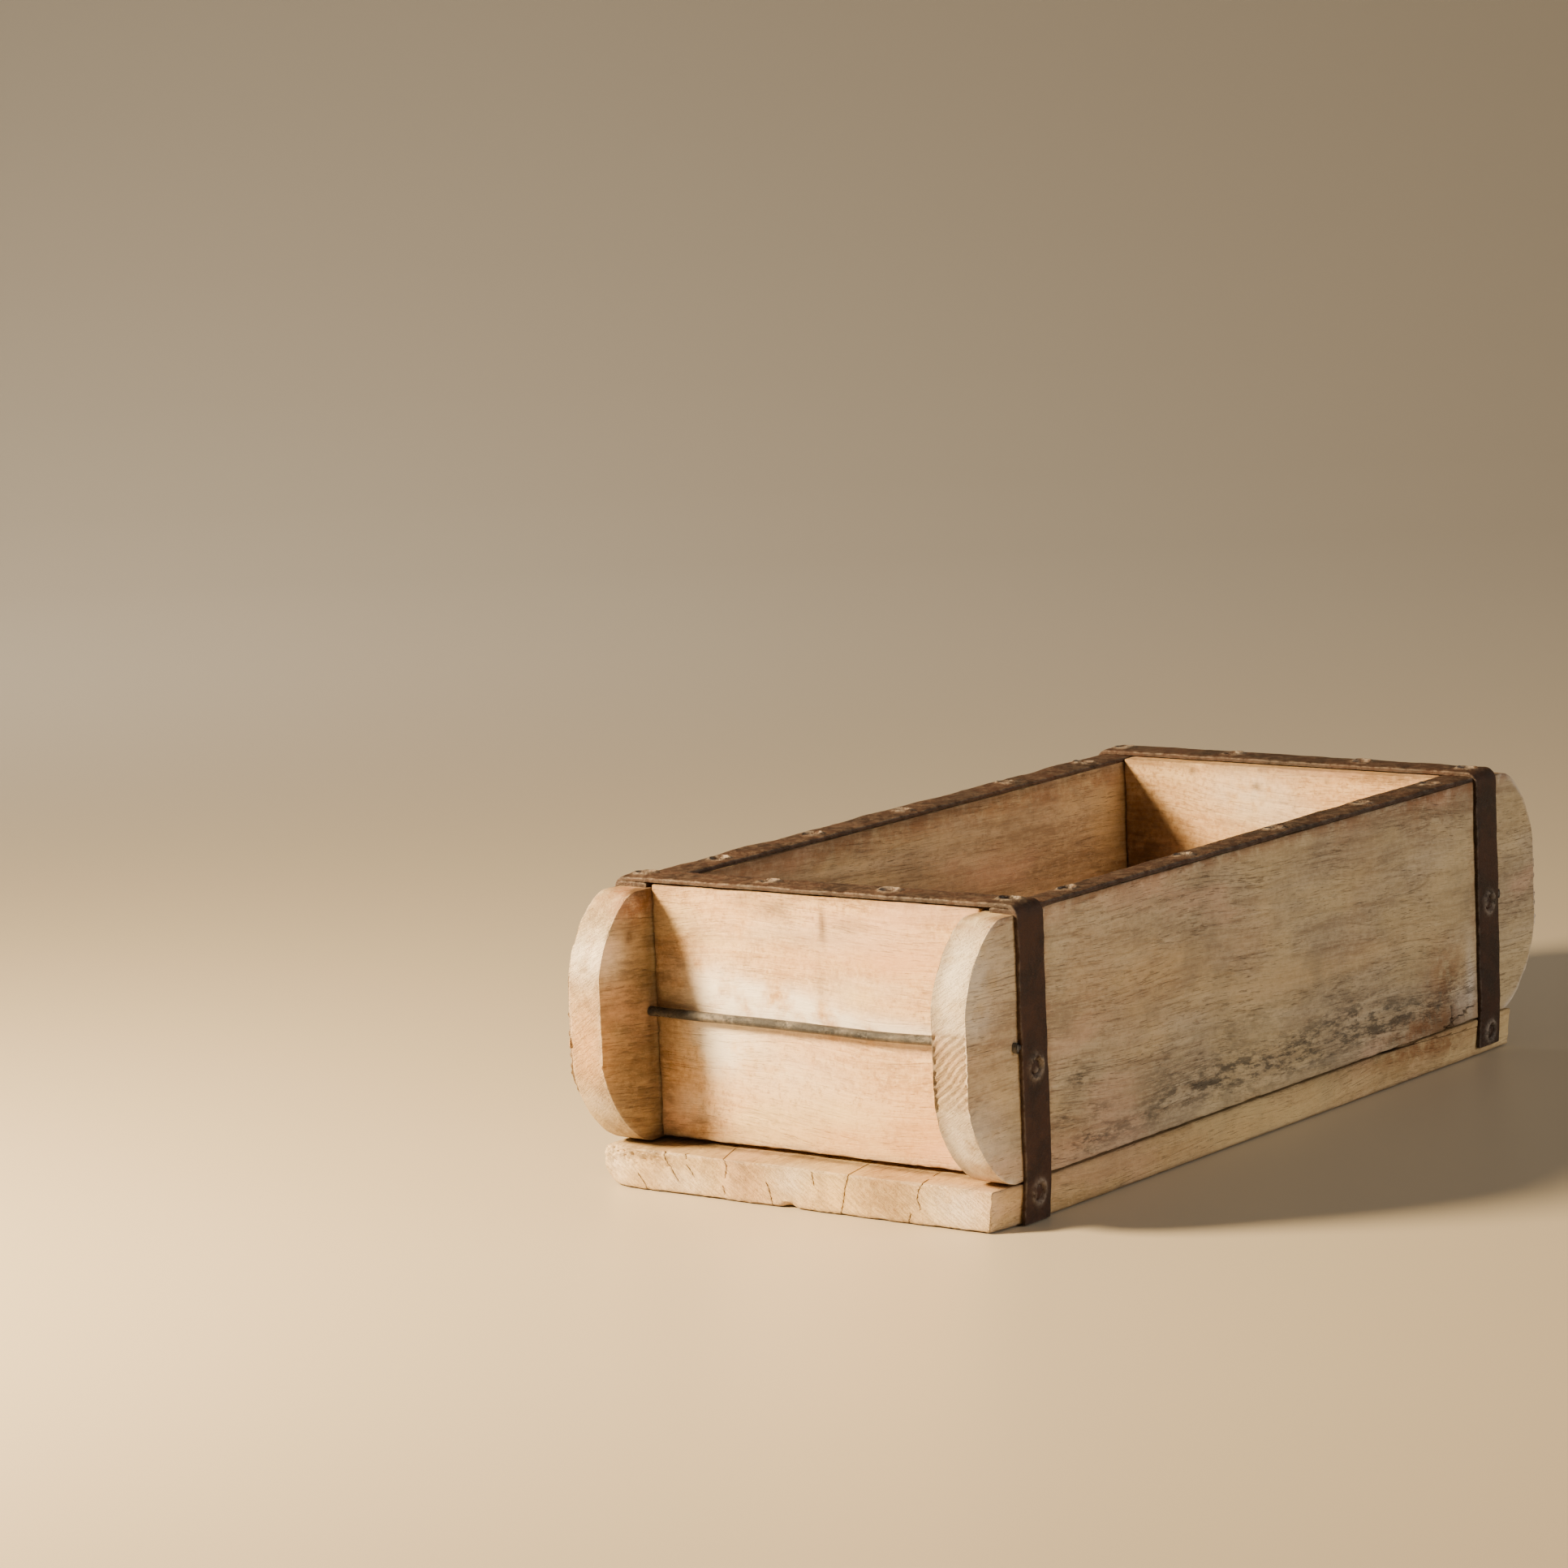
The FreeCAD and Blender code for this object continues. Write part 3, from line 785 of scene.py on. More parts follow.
# The patch at y 54, z 60 on the inner face and the line in the left inner corner are painted shade where the
# left board shades the rear board; the rest is grime.
paintSpots(rearBoard, "grime_and_shade",
           onFace(0, endInner, (7.4, 86, 1.6, 1.3, 0.95), (32.8, 89.8, 1.4, 1.2, 0.8),
                  (0, 92.5, 400, 2.5, 0.55), (0, 14, 400, 3, 0.70), (-20, 89, 0.9, 0.9, 0.80),
                  (60.5, 50, 1.2, 40, 0.80), (54, 60, 15, 26, 1.0)) +
           onFace(0, endOuter, (0, 93, 400, 2, 0.50)))
# The patch at y 52 on the inner face is painted shade in the same shaded corner; the rest is mould.
paintSpots(rearBoard, "mould_and_shade",
           onFace(0, endInner, (-45, 92, 12, 5, 0.45), (52, 52, 14, 24, 0.60)) +
           onFace(0, endOuter, (30, 22, 24, 5, 0.50)))
endLook = woodLook(grainTurn=math.radians(90), lineCount=14.0, lineDepth=0.12, warmth=0.40, greyness=0.16,
                   relief=0.45, light=(0.80, 0.56, 0.32), middle=(0.64, 0.405, 0.205),
                   dark=(0.41, 0.235, 0.105), poreDepth=0.16, yellowness=0.65, pinkness=0.55, mottle=0.75)
rearLook = {**endLook, "shift": (0.2, 0.3, 0)}
finishPiece(frontBoard, woodMaterial("frontWood", endLook), "bleached_wood", "front_end_board")
finishPiece(rearBoard, woodMaterial("rearWood", rearLook), "bleached_wood", "rear_end_board")
print("end boards shaped")

base = {"front": -0.152, "ledge": -0.1372, "ledgeShare": 0.30, "cornerCut": 0.002, "under": 0.0004,
        "seam": 0.0004, "sideSlope": 0.0015, "cornerBack": 0.0030, "cornerIn": 0.0026, "frayDepth": 0.0011,
        "notchPlace": 0.0038, "notchWidth": 0.0021, "notchDepth": 0.0016, "crackDepth": 0.0013,
        "pinch": 0.00017}
# cracks, right to left: the way down the front as (y, z), how far it is open, and its drift over the ledge
baseCracks = [
    {"down": [(-46.0, 13.0), (-44.5, 10.6), (-43.8, 7.8), (-44.8, 5.7)], "open": [(5.0, 13.2)],
     "drift": 4.0},
    {"down": [(-41.6, 4.0), (-41.2, 2.6), (-40.3, 0.2)], "open": [(0.0, 3.2)]},
    {"down": [(-32.3, 13.0), (-31.7, 11.9), (-31.1, 10.0)], "open": [(9.6, 13.2)]},
    {"down": [(-19.3, 13.0), (-19.0, 11.2), (-18.0, 8.7), (-17.3, 4.6), (-16.0, 0.2)],
     "open": [(0.0, 13.2)], "drift": 3.3},
    {"down": [(-5.9, 12.6), (-6.3, 9.7), (-7.0, 7.1)], "open": [(8.2, 11.6)]},
    {"down": [(11.2, 7.7), (10.0, 5.4), (9.2, 2.2), (8.8, 0.2)], "open": [(0.0, 7.4)]},
    {"down": [(27.6, 13.0), (26.2, 12.0), (25.6, 10.3), (26.2, 7.8), (27.3, 4.6), (26.6, 1.8)],
     "open": [(7.0, 13.2), (2.2, 4.4)], "drift": 6.0},
    {"down": [(41.6, 13.0), (40.6, 11.9), (40.8, 9.6), (39.4, 8.1), (37.7, 5.8)],
     "open": [(11.6, 13.2), (6.4, 9.4)]},
    {"down": [(50.6, 13.0), (49.2, 10.6), (48.2, 9.2), (46.8, 8.1), (45.6, 6.2), (43.5, 3.5)],
     "open": [(4.0, 13.2)]},
    {"down": [(59.6, 5.2), (58.6, 3.9), (56.9, 2.1), (56.0, 0.1)], "open": [(0.0, 5.0)]},
]


def openBaseCracks(board, rows):
    # bends the columns of points nearest to each crack along it, then sinks them into the wood
    points = readPoints(board)
    x, y, z = points[:, 0].copy(), points[:, 1].copy(), points[:, 2].copy()
    half = rim["halfWidth"]
    cell = 2 * half / rows
    near = ramp(x, -0.125, -0.137)
    overLedge = ramp(x, base["front"], base["front"] + 0.0145)
    columns, targets = [np.full(len(y), -half)], [np.full(len(y), -half)]
    for crack in baseCracks:
        route = sorted((b / 1000, a / 1000) for a, b in crack["down"])
        middle = sum(a for b, a in route) / len(route)
        column = -half + round((middle + half) / cell) * cell
        line = np.interp(z, [b for b, a in route], [a for b, a in route])
        line = line + 0.00012 * np.sin(z * 5200 + middle * 900) + crack.get("drift", 0) / 1000 * overLedge
        columns.append(np.full(len(y), column))
        targets.append(column + (line - column) * near)
    columns.append(np.full(len(y), half))
    targets.append(np.full(len(y), half))
    moved = y.copy()
    for low, high, toLow, toHigh in zip(columns, columns[1:], targets, targets[1:]):
        share = (y - low) / (high - low)
        between = (share >= 0) & (share < 1)
        moved = np.where(between, toLow + share * (toHigh - toLow), moved)
    opened = np.zeros(len(y))
    onFront = x < base["front"] + 0.0022
    onTop = (z > 0.0112) & (x < base["ledge"])
    for crack, column, line in zip(baseCracks, columns[1:], targets[1:]):
        gap = (y - column) / cell
        spread = np.zeros(len(y))
        for low, high in crack["open"]:
            within = np.minimum(z * 1000 - low, high - z * 1000)
            spread = np.maximum(spread, np.clip(within / 0.8 + 0.3, 0, 1))
        fade = np.clip(1 - 6 * overLedge, 0, 1)
        if "drift" in crack:
            fade = 1 - 0.5 * overLedge
        topSpread = onTop * fade
        spread = np.maximum(spread * onFront, topSpread * (spread > 0))
        beside = (np.abs(np.abs(gap) - 1) < 0.3) & (spread > 0)
        moved = np.where(beside, line + np.sign(gap) * base["pinch"] * (1 + 0.4 * np.sin(z * 3100)), moved)
        sunk = spread * (np.abs(gap) < 0.3)
        x += base["crackDepth"] * sunk * onFront
        z -= 0.7 * base["crackDepth"] * sunk * onTop
        opened = np.maximum(opened, np.maximum(sunk, 0.30 * spread * beside))
    writePoints(board, np.stack([x, moved, z], axis=1))
    # The crack mark darkens the cracks and, more faintly, their edges: painted shade inside the narrow
    # cracks.
    storeValue(board, "crack", opened)


def shapeBase():
    board = shapeBlock("base_board", ((11, 6), (17, 19), (25,)))
    low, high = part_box("base_board")
    points = readPoints(board)
    # columns crowd into the ledge in front of the end board
    share = (points[:, 0] - low[0]) / (high[0] - low[0])
    kept = base["ledgeShare"]
    ledge = low[0] + share / kept * (base["ledge"] - low[0])
    rest = base["ledge"] + (share - kept) / (1 - kept) * (high[0] - base["ledge"])
    points[:, 0] = np.where(share < kept, ledge, rest)
    up = (points[:, 2] - low[2]) / (high[2] - low[2])
    points[:, 2] = base["under"] + up * (high[2] - base["seam"] - base["under"])
    # a shallow cut narrows the front right corner, and the right side leans in below
    rightward = np.clip(-points[:, 1] / rim["halfWidth"], 0, 1)
    forward = ramp(points[:, 0], -rim["halfLength"], base["front"])
    points[:, 1] += rightward ** 3 * base["cornerCut"] * forward
    points[:, 1] += rightward ** 8 * base["sideSlope"] * (1 - up)
    writePoints(board, points)
    bevelEdges(board, 0.0005, 2)
    roughen(board, 0, 0.00022, 0.0008, 91.0)
    points = readPoints(board)
    # the front left corner is rounded off, and its top arris is frayed
    corner = ramp(points[:, 1], 0.064, 0.0725) * ramp(points[:, 2], 0.007, 0)
    atFront = ramp(points[:, 0], -0.146, base["front"])
    points[:, 0] += base["cornerBack"] * corner ** 1.5 * atFront
    points[:, 1] -= base["cornerIn"] * corner ** 1.5 * atFront
    frayed = ramp(points[:, 1], 0.040, 0.050) * ramp(points[:, 2], 0.0065, 0.0105)
    frayed = frayed * ramp(points[:, 0], -0.1475, -0.1515)
    pits = np.clip(noiseAt(points, (0.002, 0.0016, 0.0008), 4.0) + 0.05, 0, 1)
    torn = np.clip(noiseAt(points, (0.005, 0.0075, 0.0022), 8.0) + 0.30, 0, 1)
    loss = base["frayDepth"] * frayed * (1.2 * pits + 0.9 * torn)
    points += loss[:, None] * np.array((1, 0, -0.5))
    # a notch in the bottom arris
    notch = np.exp(-((points[:, 1] - base["notchPlace"]) / base["notchWidth"]) ** 2)
    notch *= base["notchDepth"] * ramp(points[:, 2], 0.0022, 0) * ramp(points[:, 0], -0.149, base["front"])
    points[:, 0] += notch
    points[:, 2] += notch
    writePoints(board, points)
    onFront = ramp(points[:, 0], -0.1395, -0.1405)
    maskWear(board, np.maximum(onFront, 0.5 * ramp(points[:, 2], 0.006, 0.002)))
    return board


baseBoard = shapeBase()
openBaseCracks(baseBoard, 360)
openCrack(baseBoard, readPoints(baseBoard)[:, 1] < -0.0705, (0, 2),
          [(62, 12.4), (74, 12.3), (86.5, 12.0), (98.6, 11.4), (108, 10.8), (118.7, 10.4), (125.4, 10.2)],
          0.0003, 0.0010, (0, 1, 0))
for route in ([(-31, 12.4), (-29.5, 9.0), (-30.4, 5.2)], [(18, 0.8), (17.2, 4.0), (18.6, 7.6), (17.4, 11.0)]):
    openCrack(baseBoard, readPoints(baseBoard)[:, 0] > 0.1505, (1, 2), route, 0.0003, 0.0010, (-1, 0, 0))
paintSpots(baseBoard, "mould_and_shade",
           onFace(0, -152, (60, 11, 9, 2.6, 0.60), (70, 7, 3, 5, 0.40), (8, 12, 14, 3, 0.20)) +
           onFace(1, -72, (-120, 12, 14, 2, 0.30), (60, 12, 30, 2, 0.45)) +
           onFace(1, outer, (0, 9, 60, 4, 0.40)))
paintSpots(baseBoard, "rust",
           onFace(1, -72, (82, 10, 26, 3.6, 1.0), (106, 8, 13, 4, 0.75), (-126, 8, 3, 8, 0.35),
                  (126, 8, 3, 8, 0.35)))
# The broad patch on the top inside the box is painted shade for the interior, and the band along the bottom
# arris is a painted contact shadow under the base; the other patches are grime.
paintSpots(baseBoard, "grime_and_shade",
           onFace(0, -152, (17, 8, 6, 8, 0.38), (-36, 9, 11, 8, 0.44), (-62, 13, 6, 1.2, 0.30),
                  (22, 7, 4, 8, 0.36), (-9, 7, 2.2, 8, 0.34), (33, 9, 3, 6, 0.26), (50, 10, 8, 3, 0.30)) +
           [((0, -outer, 13), (400, 4, 0.9), 0.70), ((-139, 0, 13), (2.5, 400, 2), 0.60),
            ((0, 0, 13), (118, 62, 3), 0.95), ((-143, 62, 13), (8, 9, 2), 0.40),
            ((-144, 10, 13.4), (7, 400, 1.6), 0.34), ((0, 0, 0), (400, 400, 1.1), 0.90)])
paintSpots(baseBoard, "pale",
           onFace(0, -152, (-58, 7, 11, 8, 0.60), (2, 9, 8, 6, 0.40), (42, 4, 12, 4, 0.30), depth=5) +
           onFace(0, -152, (68, 7, 7, 8, 0.40), depth=6))
paintSpots(baseBoard, "warm",
           onFace(0, -152, (15, 6, 8, 8, 0.30), (-12, 5, 12, 5, 0.35), depth=5) +
           [((-146, -38, 13), (8, 30, 3), 0.45), ((-60, -72, 5), (80, 4, 5), 0.30)])
baseLook = woodLook(shift=(0.5, 0.1, 0.03), light=(0.72, 0.53, 0.29), middle=(0.59, 0.42, 0.22),
                    dark=(0.42, 0.28, 0.13), lineDepth=0.18, greyness=0.28, warmth=0.20, poreDepth=0.28,
                    chalkiness=0.25, yellowness=0.7, pinkness=0.30, sawTurn=math.radians(-35), sawDepth=0.38)
finishPiece(baseBoard, woodMaterial("baseWood", baseLook), "bleached_wood", "base_board")
print("base shaped")

hoop = {"thick": 0.0016, "strapWide": 0.0132, "stripWide": 0.0115, "edgeWave": 0.00032, "dent": 0.00022,
        "lip": 0.00055, "lipRadius": 0.0031, "lipSpread": 0.0008, "bowl": 0.0011, "bowlRadius": 0.0024,
        "bowlSpread": 0.00022, "roundEdge": 0.00035, "lipShine": 0.5, "dustRadius": 0.0040,
        "dustSpread": 0.0012}
strap = {"line": 0.1326, "outside": 0.0741, "top": 0.0947, "bend": 0.0042, "tuck": 0.0011,
         "frontFoot": 0.0003, "frontAcross": (-66.75, -24, 20, 66.75), "frontUp": (9, 46),
         "rearFoot": 0.0030, "rearAcross": (-66.75, -27, 23, 66.75), "rearUp": (7.5, 50.5)}
strip = {"line": 0.06675, "top": 0.0931, "half": 0.1392, "lift": 0.00050,
         "rightAlong": (-104, -41, 12, 65, 108), "leftAlong": (-96, -48, 1, 61, 107)}


def beatBar(name, length, width, cuts, nails, seed):
    # a flat bar lying along X with its face at Z = 0, beaten uneven and punched down round every nail
    thick = hoop["thick"]
    bar = addBox(name, (0, -width / 2, -thick), (length, width / 2, 0))
    for axis, counts in enumerate(cuts):
        cutAlong(bar, axis, *counts)
    bevelEdges(bar, 0.00035, 2)
    storeValue(bar, "wear", edgeShare(bar, 1) * 0.22)
    points = readPoints(bar)
    along, across, up = points[:, 0].copy(), points[:, 1].copy(), points[:, 2].copy()
    face = np.clip(up / thick + 1, 0, 1)
    edge = ramp(np.abs(across), 0, width / 2)
    line = np.stack([along, np.sign(across) * 0.05, np.zeros(len(along))], axis=1)
    wave = noiseAt(line, 0.011, seed) + 0.5 * noiseAt(line, 0.0035, seed + 3)
    rise = face * hoop["dent"] * (noiseAt(points, (0.012, 0.008, 1), seed + 7)
                                  + 0.35 * noiseAt(points, (0.0028, 0.0022, 1), seed + 9))
    rise -= face * edge ** 6 * hoop["roundEdge"]
    shine = readValue(bar, "wear")
    dust = np.zeros(len(along))
    for number, (place, tilt) in enumerate(nails):
        gap = np.hypot((along - place) * 0.96, across)
        bearing = np.arctan2(across, along - place)
        uneven = 1 + 0.35 * np.cos(bearing + tilt) + 0.2 * np.cos(3 * bearing + 2 * number)
        lip = np.exp(-((gap - hoop["lipRadius"]) / hoop["lipSpread"]) ** 2) * uneven
        bowl = 1 / (1 + np.exp((gap - hoop["bowlRadius"]) / hoop["bowlSpread"]))
        rise += face * (hoop["lip"] * lip - hoop["bowl"] * bowl)
        # The punched lips are painted bright and metallic: partly worn bare metal, partly a painted highlight
        # for their glints.
        shine = np.maximum(shine, hoop["lipShine"] * np.clip(lip, 0, 1) * face)
        ring = np.exp(-((gap - hoop["dustRadius"]) / hoop["dustSpread"]) ** 2)
        dust = np.maximum(dust, 0.3 * ring * face)
    storeValue(bar, "wear", shine)
    storeValue(bar, "dust", dust)
    across += np.sign(across) * edge ** 3 * wave * hoop["edgeWave"]
    writePoints(bar, np.stack([along, across, up + rise], axis=1))
    return bar


def strapRuns(foot):
    # lengths of a leg, a bend and the flat top along a strap's outer face
    leg = strap["top"] - strap["bend"] - foot
    return leg, strap["bend"] * math.pi / 2, 2 * (strap["outside"] - strap["bend"])


def bendStrap(end, foot, points):
    # lays a flat bar up the right leg, over the box and down the left leg
    along, across, up = points[:, 0], points[:, 1], points[:, 2]
    leg, arc, flat = strapRuns(foot)
    fromMiddle = along - leg - arc - flat / 2
    side, reach = np.sign(fromMiddle), np.abs(fromMiddle)
    turn = np.clip((reach - flat / 2) / strap["bend"], 0, math.pi / 2)
    down = np.clip(reach - flat / 2 - arc, 0, None)
    y = np.minimum(reach, flat / 2) + (strap["bend"] + up) * np.sin(turn)
    z = strap["top"] - strap["bend"] + (strap["bend"] + up) * np.cos(turn) - down
    y -= strap["tuck"] * ramp(z, 0.020, 0) ** 1.5
    y *= side
    x = end * strap["line"] - across
    z = z - rimDrop(x, y) * ramp(z, 0, 0.0915)
    return np.stack([x, y, z], axis=1)


def layStrip(side, points):
    # lays a flat bar along a rim; its inner edge tapers towards the front on the right
    along, across, up = points[:, 0], points[:, 1], points[:, 2]
    x = along - strip["half"]
    frontShare = (strip["half"] - x) / (2 * strip["half"])
    inner = across * side < 0
    taper = 1.12 - (0.62 if side < 0 else 0.25) * frontShare
    y = side * strip["line"] + np.where(inner, across * taper, across)
    lifted = np.clip(noiseAt(np.stack([x, 0 * x, 0 * x], axis=1), 0.022, 7 + side) + 0.35, 0, 1)
    lifted = lifted * ramp(np.abs(x), 0.120, 0.108)
    rise = strip["lift"] * lifted * (0.6 + 0.4 * across * side / (hoop["stripWide"] / 2))
    z = strip["top"] + up + rise - rimDrop(x, side * rim["halfWidth"])
    return np.stack([x, y, z], axis=1)


nail = {"head": 0.0021, "thick": 0.0007, "shank": 0.0011, "length": 0.018, "point": 0.003, "sunk": 0.00055,
        "dome": ((0.00018, 0.84), (0.00014, 0.66), (0.00005, 0.45))}


def forgeNail(name):
    # lies head up at the origin with its point down
    deselectAll()
    bpy.ops.mesh.primitive_cylinder_add(vertices=20, radius=nail["head"], depth=nail["thick"],
                                        location=(0, 0, -nail["thick"] / 2))
    piece = bpy.context.object
    piece.name = name
    bpy.ops.object.transform_apply(location=True, rotation=False, scale=False)

    def lowest(face):
        return face.normal.z < -0.9 and face.center.z < min(v.co.z for v in piece.data.vertices) + 1e-5

    def highest(face):
        return face.normal.z > 0.9 and face.center.z > max(v.co.z for v in piece.data.vertices) - 1e-5

    narrow = nail["shank"] / nail["head"]
    drawOut(piece, lowest, (0, 0, 0), (narrow, narrow, 1))
    drawOut(piece, lowest, (0, 0, -nail["length"]), (1, 1, 1))
    drawOut(piece, lowest, (0, 0, -nail["point"]), (0.18, 0.18, 1))
    for rise, share in nail["dome"]:
        drawOut(piece, highest, (0, 0, rise), (share, share, 1))
    return piece


def driveNails(name, pattern, places, slot, node):
    # one copy of the pattern nail at each place, each a little different, joined as one piece
    copies = []
    for number, (spot, outward) in enumerate(places):
        copy = pattern.copy()
        copy.data = pattern.data.copy()
        bpy.context.scene.collection.objects.link(copy)
        aim = Vector(outward).to_track_quat("Z", "Y").to_matrix().to_4x4()
        lean = Matrix.Rotation(0.06 * math.sin(5 * number), 4, "X") @ Matrix.Rotation(1.9 * number, 4, "Z")
        stretch = (1.0 + 0.12 * math.sin(3 * number + 1), 1.0 - 0.08 * math.sin(2 * number), 1, 1)
        oval = Matrix.Diagonal(stretch)
        seat = Vector(spot) - Vector(outward) * nail["sunk"]
        copy.data.transform(Matrix.Translation(seat) @ aim @ lean @ oval)
        copies.append(copy)
    deselectAll()
    for copy in copies:
        copy.select_set(True)
    bpy.context.view_layer.objects.active = copies[0]
    bpy.ops.object.join()
    group = bpy.context.object
    group.name = name
    group.data.name = name
    points = readPoints(group)
    dents = noiseAt(points, 0.0011, 6.0)
    writePoints(group, points + readNormals(group) * (0.00009 * dents)[:, None])
    storeValue(group, "wear", np.clip(noiseAt(points, 0.002, 2.0), 0, 0.5))
    storeValue(group, "dust", np.zeros(len(points)))
    finishPiece(group, nailIron, slot, node)


patternNail = forgeNail("pattern_nail")

for end, label in ((-1, "front"), (1, "rear")):
    foot = strap[label + "Foot"]
    leg, arc, flat = strapRuns(foot)
    length = 2 * leg + 2 * arc + flat
    acrossTop = [leg + arc + flat / 2 + y / 1000 for y in strap[label + "Across"]]
    rightLeg = [z / 1000 - foot for z in strap[label + "Up"]]
    leftLeg = [length - (z / 1000 - foot) for z in strap[label + "Up"]]
    holes = acrossTop + rightLeg + leftLeg
    bar = beatBar(label + "_strap_forged", length, hoop["strapWide"], ((15, 19, 1), (24,), (1,)),
                  [(place, 1.3 * n) for n, place in enumerate(holes)], 17.0 + end)
    writePoints(bar, bendStrap(end, foot, readPoints(bar)))
    finishPiece(bar, hoopIron, "hoop_iron", label + "_end_strap", smooth=40)
    spots = bendStrap(end, foot, np.array([[place, 0, 0] for place in holes]))
    outwards = [(0, 0, 1)] * len(acrossTop) + [(0, -1, 0)] * len(rightLeg) + [(0, 1, 0)] * len(leftLeg)
    placed = list(zip(spots, outwards))
    for group, nails in (("strap", placed[:len(acrossTop)]), ("leg", placed[len(acrossTop):])):
        groupName = label + "_" + group + "_nails"
        driveNails(groupName + "_forged", patternNail, nails, "nail_iron", groupName)

for side, label in ((-1, "right"), (1, "left")):
    holes = [x / 1000 + strip["half"] for x in strip[label + "Along"]]
    bar = beatBar(label + "_strip_forged", 2 * strip["half"], hoop["stripWide"], ((15, 15, 1), (21,), (1,)),
                  [(place, 0.9 * n) for n, place in enumerate(holes)], 41.0 + side)
    writePoints(bar, layStrip(side, readPoints(bar)))
    finishPiece(bar, hoopIron, "hoop_iron", label + "_rim_strip", smooth=40)
    spots = layStrip(side, np.array([[place, 0, 0] for place in holes]))
    nails = [(spot, (0, 0, 1)) for spot in spots]
    driveNails(label + "_rim_nails_forged", patternNail, nails, "nail_iron", label + "_rim_nails")
bpy.data.objects.remove(patternNail)
print("straps, strips and nails forged")

rod = {"radius": 0.0015, "line": 0.1414, "frontHeight": 0.0530, "rearHeight": 0.0520, "frontHalf": 0.0728,
       "rearHalf": 0.0716, "bow": 0.0004, "sway": 0.0004, "burr": 0.0046,
       "flattened": 0.45, "widened": 0.10, "uneven": 0.07,
       "head": ((0, 0, 1.25), (0, 0.0008, 1.05), (0.0008, 0.0003, 0.7))}


def forgeRod(label, end):
    # drawn rod, slightly bowed, with both ends hammered over; the front one has a burr turned to the strap.
    # Each step of a head is how far it has grown, how far it is drawn out, and its spread.
    height, half = rod[label + "Height"], rod[label + "Half"]
    deselectAll()
    bpy.ops.mesh.primitive_cylinder_add(vertices=16, radius=rod["radius"], depth=2 * half)
    piece = bpy.context.object
    piece.name = label + "_rod_forged"
    cutAlong(piece, 2, 15, 7)
    for sign in (-1, 1):
        for grown, move, spread in rod["head"]:
            drawOut(piece, lambda face: sign * face.center.z > half - 0.00001 + grown,
                    (0, 0, sign * move), (spread, spread, 1))

    def burr(face):
        return face.center.z < -half - 0.0001 and face.normal.x > 0.9

    if end < 0:
        drawOut(piece, burr, (rod["burr"], 0, 0), (1, 0.7, 0.7))
    points = readPoints(piece)
    along = points[:, 2].copy()
    ends = ramp(np.abs(along), half - 0.0003, half)
    points[:, 0] *= 1 - rod["flattened"] * ends
    points[:, 1] *= 1 + rod["widened"] * ends
    swell = noiseAt(points, (0.004, 0.004, 0.012), 3.0 + end)
    points[:, :2] *= (1 + rod["uneven"] * swell)[:, None]
    bow = rod["bow"] * np.cos(along / half * math.pi / 2)
    sway = noiseAt(np.stack([0 * along, 0 * along, along], axis=1), 0.045, 5.0 + end)
    x = end * rod["line"] + points[:, 0] + 0.3 * bow
    z = height - points[:, 1] - bow + rod["sway"] * sway
    writePoints(piece, np.stack([x, along, z], axis=1))
    return piece


for end, label in ((-1, "front"), (1, "rear")):
    piece = forgeRod(label, end)
    storeValue(piece, "wear", np.clip(0.20 + 0.9 * noiseAt(readPoints(piece), 0.006, 9.0), 0, 0.8))
    storeValue(piece, "dust", np.zeros(len(piece.data.vertices)))
    finishPiece(piece, rodIron, "rod_iron", label + "_tie_rod", smooth=50)
print("tie rods forged")

for name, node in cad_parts.items():
    if "corner_nails" in name or "base_nails" in name:
        node.data.materials.clear()
        node.data.materials.append(nailIron)

viewFacts = {"azimuth": -52.902, "elevation": 8.560, "roll": -2.411, "lens": 121.72,
             "place": (-1.3697, -0.9227, 0.3571)}
azimuth, elevation = math.radians(viewFacts["azimuth"]), math.radians(viewFacts["elevation"])
away = Vector((math.sin(azimuth) * math.cos(elevation), -math.cos(azimuth) * math.cos(elevation),
               math.sin(elevation)))
cameraData = bpy.data.cameras.new("camera")
cameraData.lens = viewFacts["lens"]
cameraData.sensor_width = 36
camera = bpy.data.objects.new("camera", cameraData)
bpy.context.scene.collection.objects.link(camera)
camera.rotation_mode = "QUATERNION"
camera.rotation_quaternion = Quaternion(away, math.radians(viewFacts["roll"])) @ away.to_track_quat("Z", "Y")
camera.location = viewFacts["place"]
bpy.context.scene.camera = camera

sweep = {"half": 7.0, "near": -8.0, "bend": 1.6, "radius": 2.0, "height": 3.5, "color": (0.56, 0.49, 0.385),
         "roughness": 0.42, "specular": 0.35}


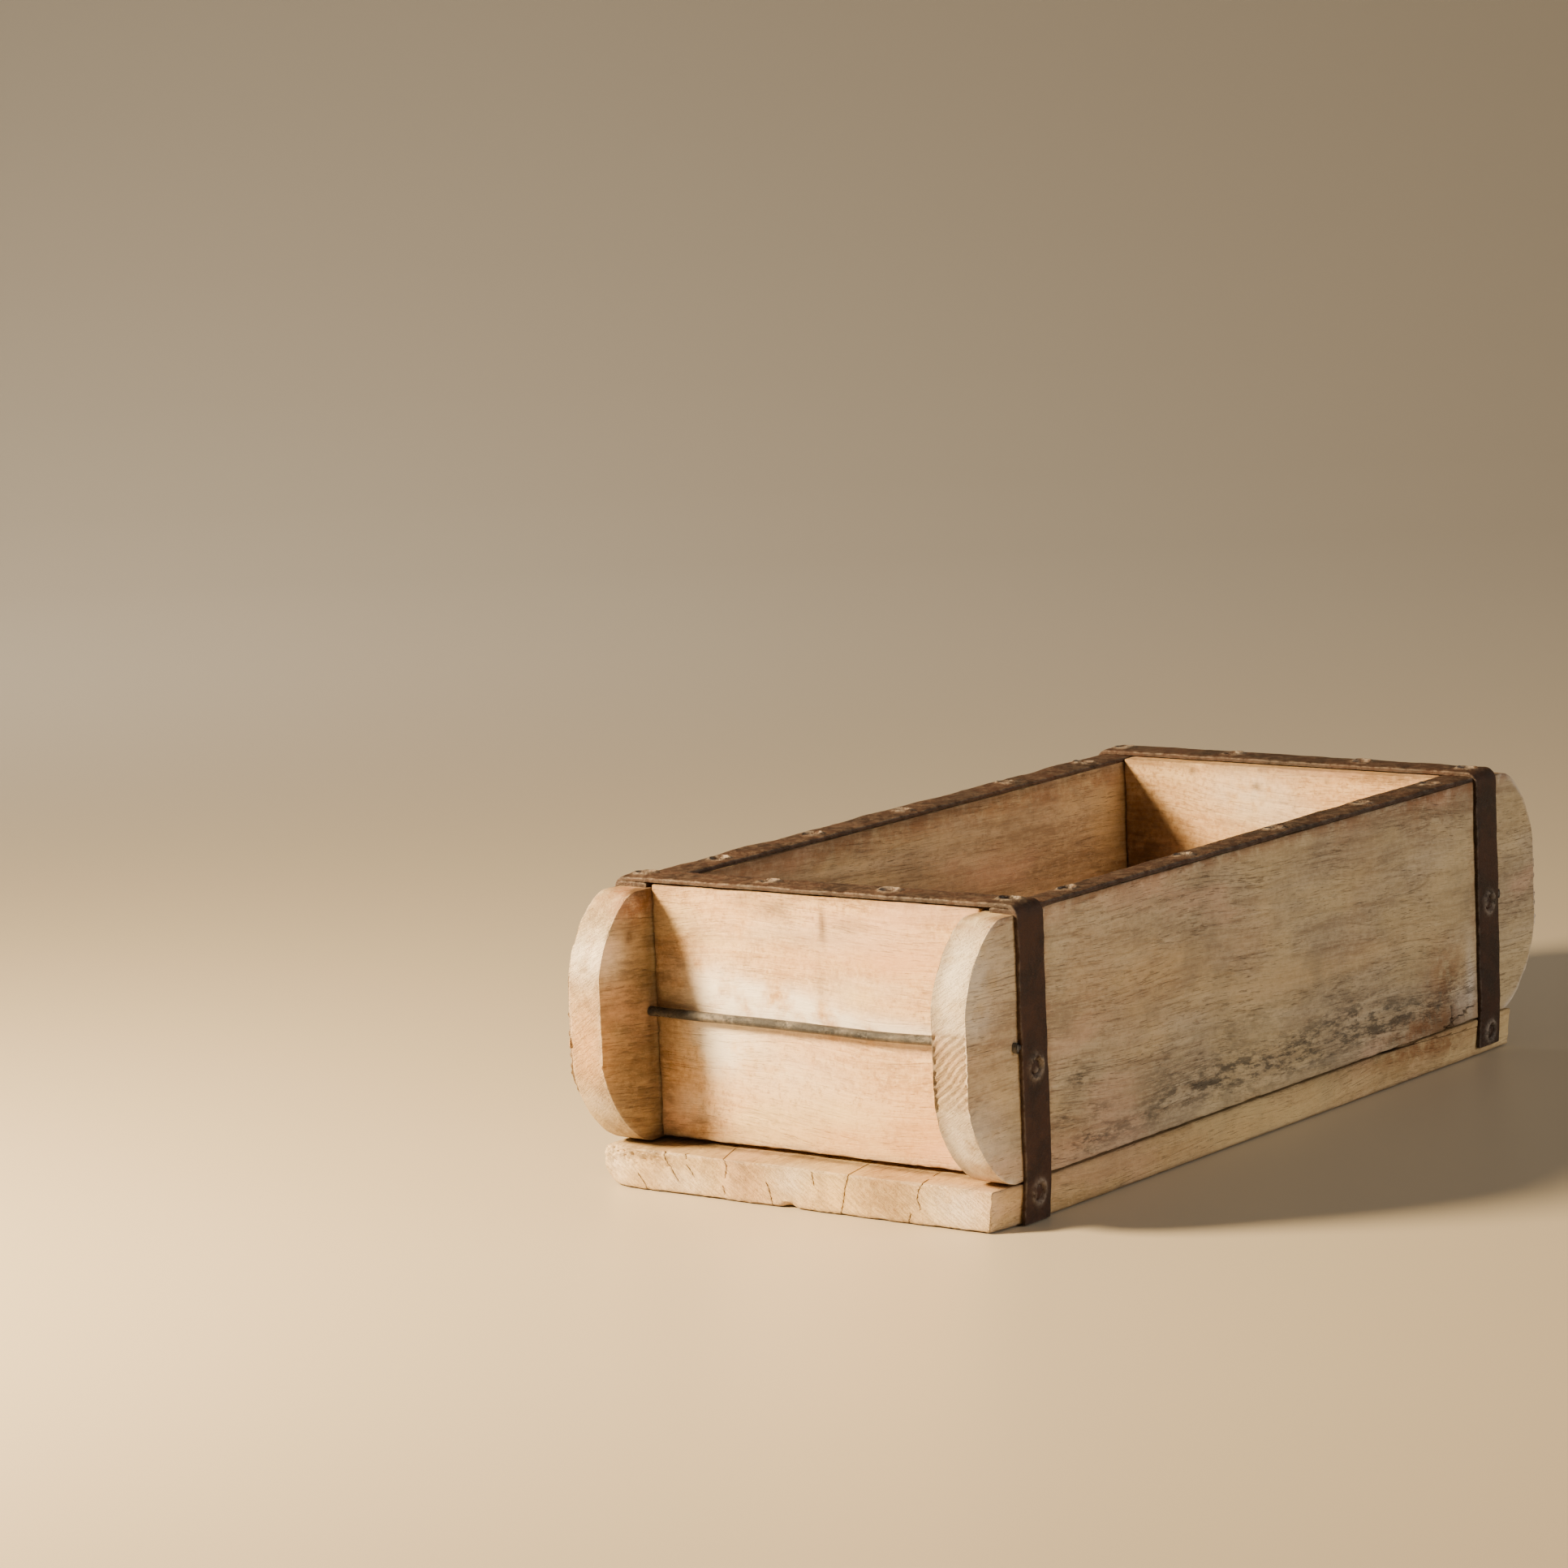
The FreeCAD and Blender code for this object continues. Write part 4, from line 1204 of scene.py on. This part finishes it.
def shapeBackdrop():
    # one sheet: floor, then a wide curve up into the wall behind
    deselectAll()
    flat = (away.xy * -1).normalized()
    side = Vector((-flat.y, flat.x))
    bpy.ops.mesh.primitive_plane_add(size=1)
    sheet = bpy.context.object
    sheet.name = "backdrop"
    bpy.ops.object.mode_set(mode="EDIT")
    bpy.ops.mesh.subdivide(number_cuts=63)
    bpy.ops.object.mode_set(mode="OBJECT")
    points = readPoints(sheet)
    arc = math.pi / 2 * sweep["radius"]
    total = sweep["bend"] - sweep["near"] + arc + sweep["height"]
    run = sweep["near"] + (points[:, 1] + 0.5) * total
    turn = np.clip((run - sweep["bend"]) / sweep["radius"], 0, math.pi / 2)
    over = np.clip(run - sweep["bend"] - arc, 0, None)
    out = np.minimum(run, sweep["bend"]) + sweep["radius"] * np.sin(turn)
    high = sweep["radius"] * (1 - np.cos(turn)) + over
    across = points[:, 0] * 2 * sweep["half"]
    placed = np.stack([flat.x * out + side.x * across, flat.y * out + side.y * across, high], axis=1)
    writePoints(sheet, placed)
    bpy.ops.object.shade_smooth()
    material, tree, shader = newMaterial("backdropPaper")
    shader.inputs["Base Color"].default_value = (*sweep["color"], 1)
    shader.inputs["Roughness"].default_value = sweep["roughness"]
    shader.inputs["Specular IOR Level"].default_value = sweep["specular"]
    sheet.data.materials.append(material)


studioLights = {
    "keyLight": {"direction": (-0.626, 0.583, 0.515), "distance": 0.80, "target": (-0.14, 0, 0.05),
                 "size": 0.20, "power": 36, "color": (1.0, 0.73, 0.40)},
    "fillLight": {"direction": (0.30, -1.0, 0.35), "distance": 2.6, "target": (0, 0, 0.05),
                  "size": 1.4, "power": 27, "color": (1.0, 0.91, 0.80)},
    "wallLight": {"direction": (-0.75, -0.25, 0.9), "distance": 1.3, "target": (1.25, 1.70, 0),
                  "size": 1.1, "power": 17, "color": (1.0, 0.89, 0.74)},
}
worldLight = {"color": (1.0, 0.86, 0.66), "strength": 0.16}


def addAreaLight(name, direction, distance, target, size, power, color):
    # a round lamp that stands off from its target in the given direction
    light = bpy.data.lights.new(name, "AREA")
    light.shape = "DISK"
    light.size = size
    light.energy = power
    light.color = color
    lamp = bpy.data.objects.new(name, light)
    bpy.context.scene.collection.objects.link(lamp)
    toward = Vector(direction).normalized()
    lamp.location = Vector(target) + toward * distance
    lamp.rotation_mode = "QUATERNION"
    lamp.rotation_quaternion = toward.to_track_quat("Z", "Y")


shapeBackdrop()
for name, facts in studioLights.items():
    addAreaLight(name, **facts)
world = bpy.data.worlds.new("studio")
world.use_nodes = True
worldSockets = world.node_tree.nodes["Background"].inputs
worldSockets["Color"].default_value = (*worldLight["color"], 1)
worldSockets["Strength"].default_value = worldLight["strength"]
bpy.context.scene.world = world
print("camera and light set")
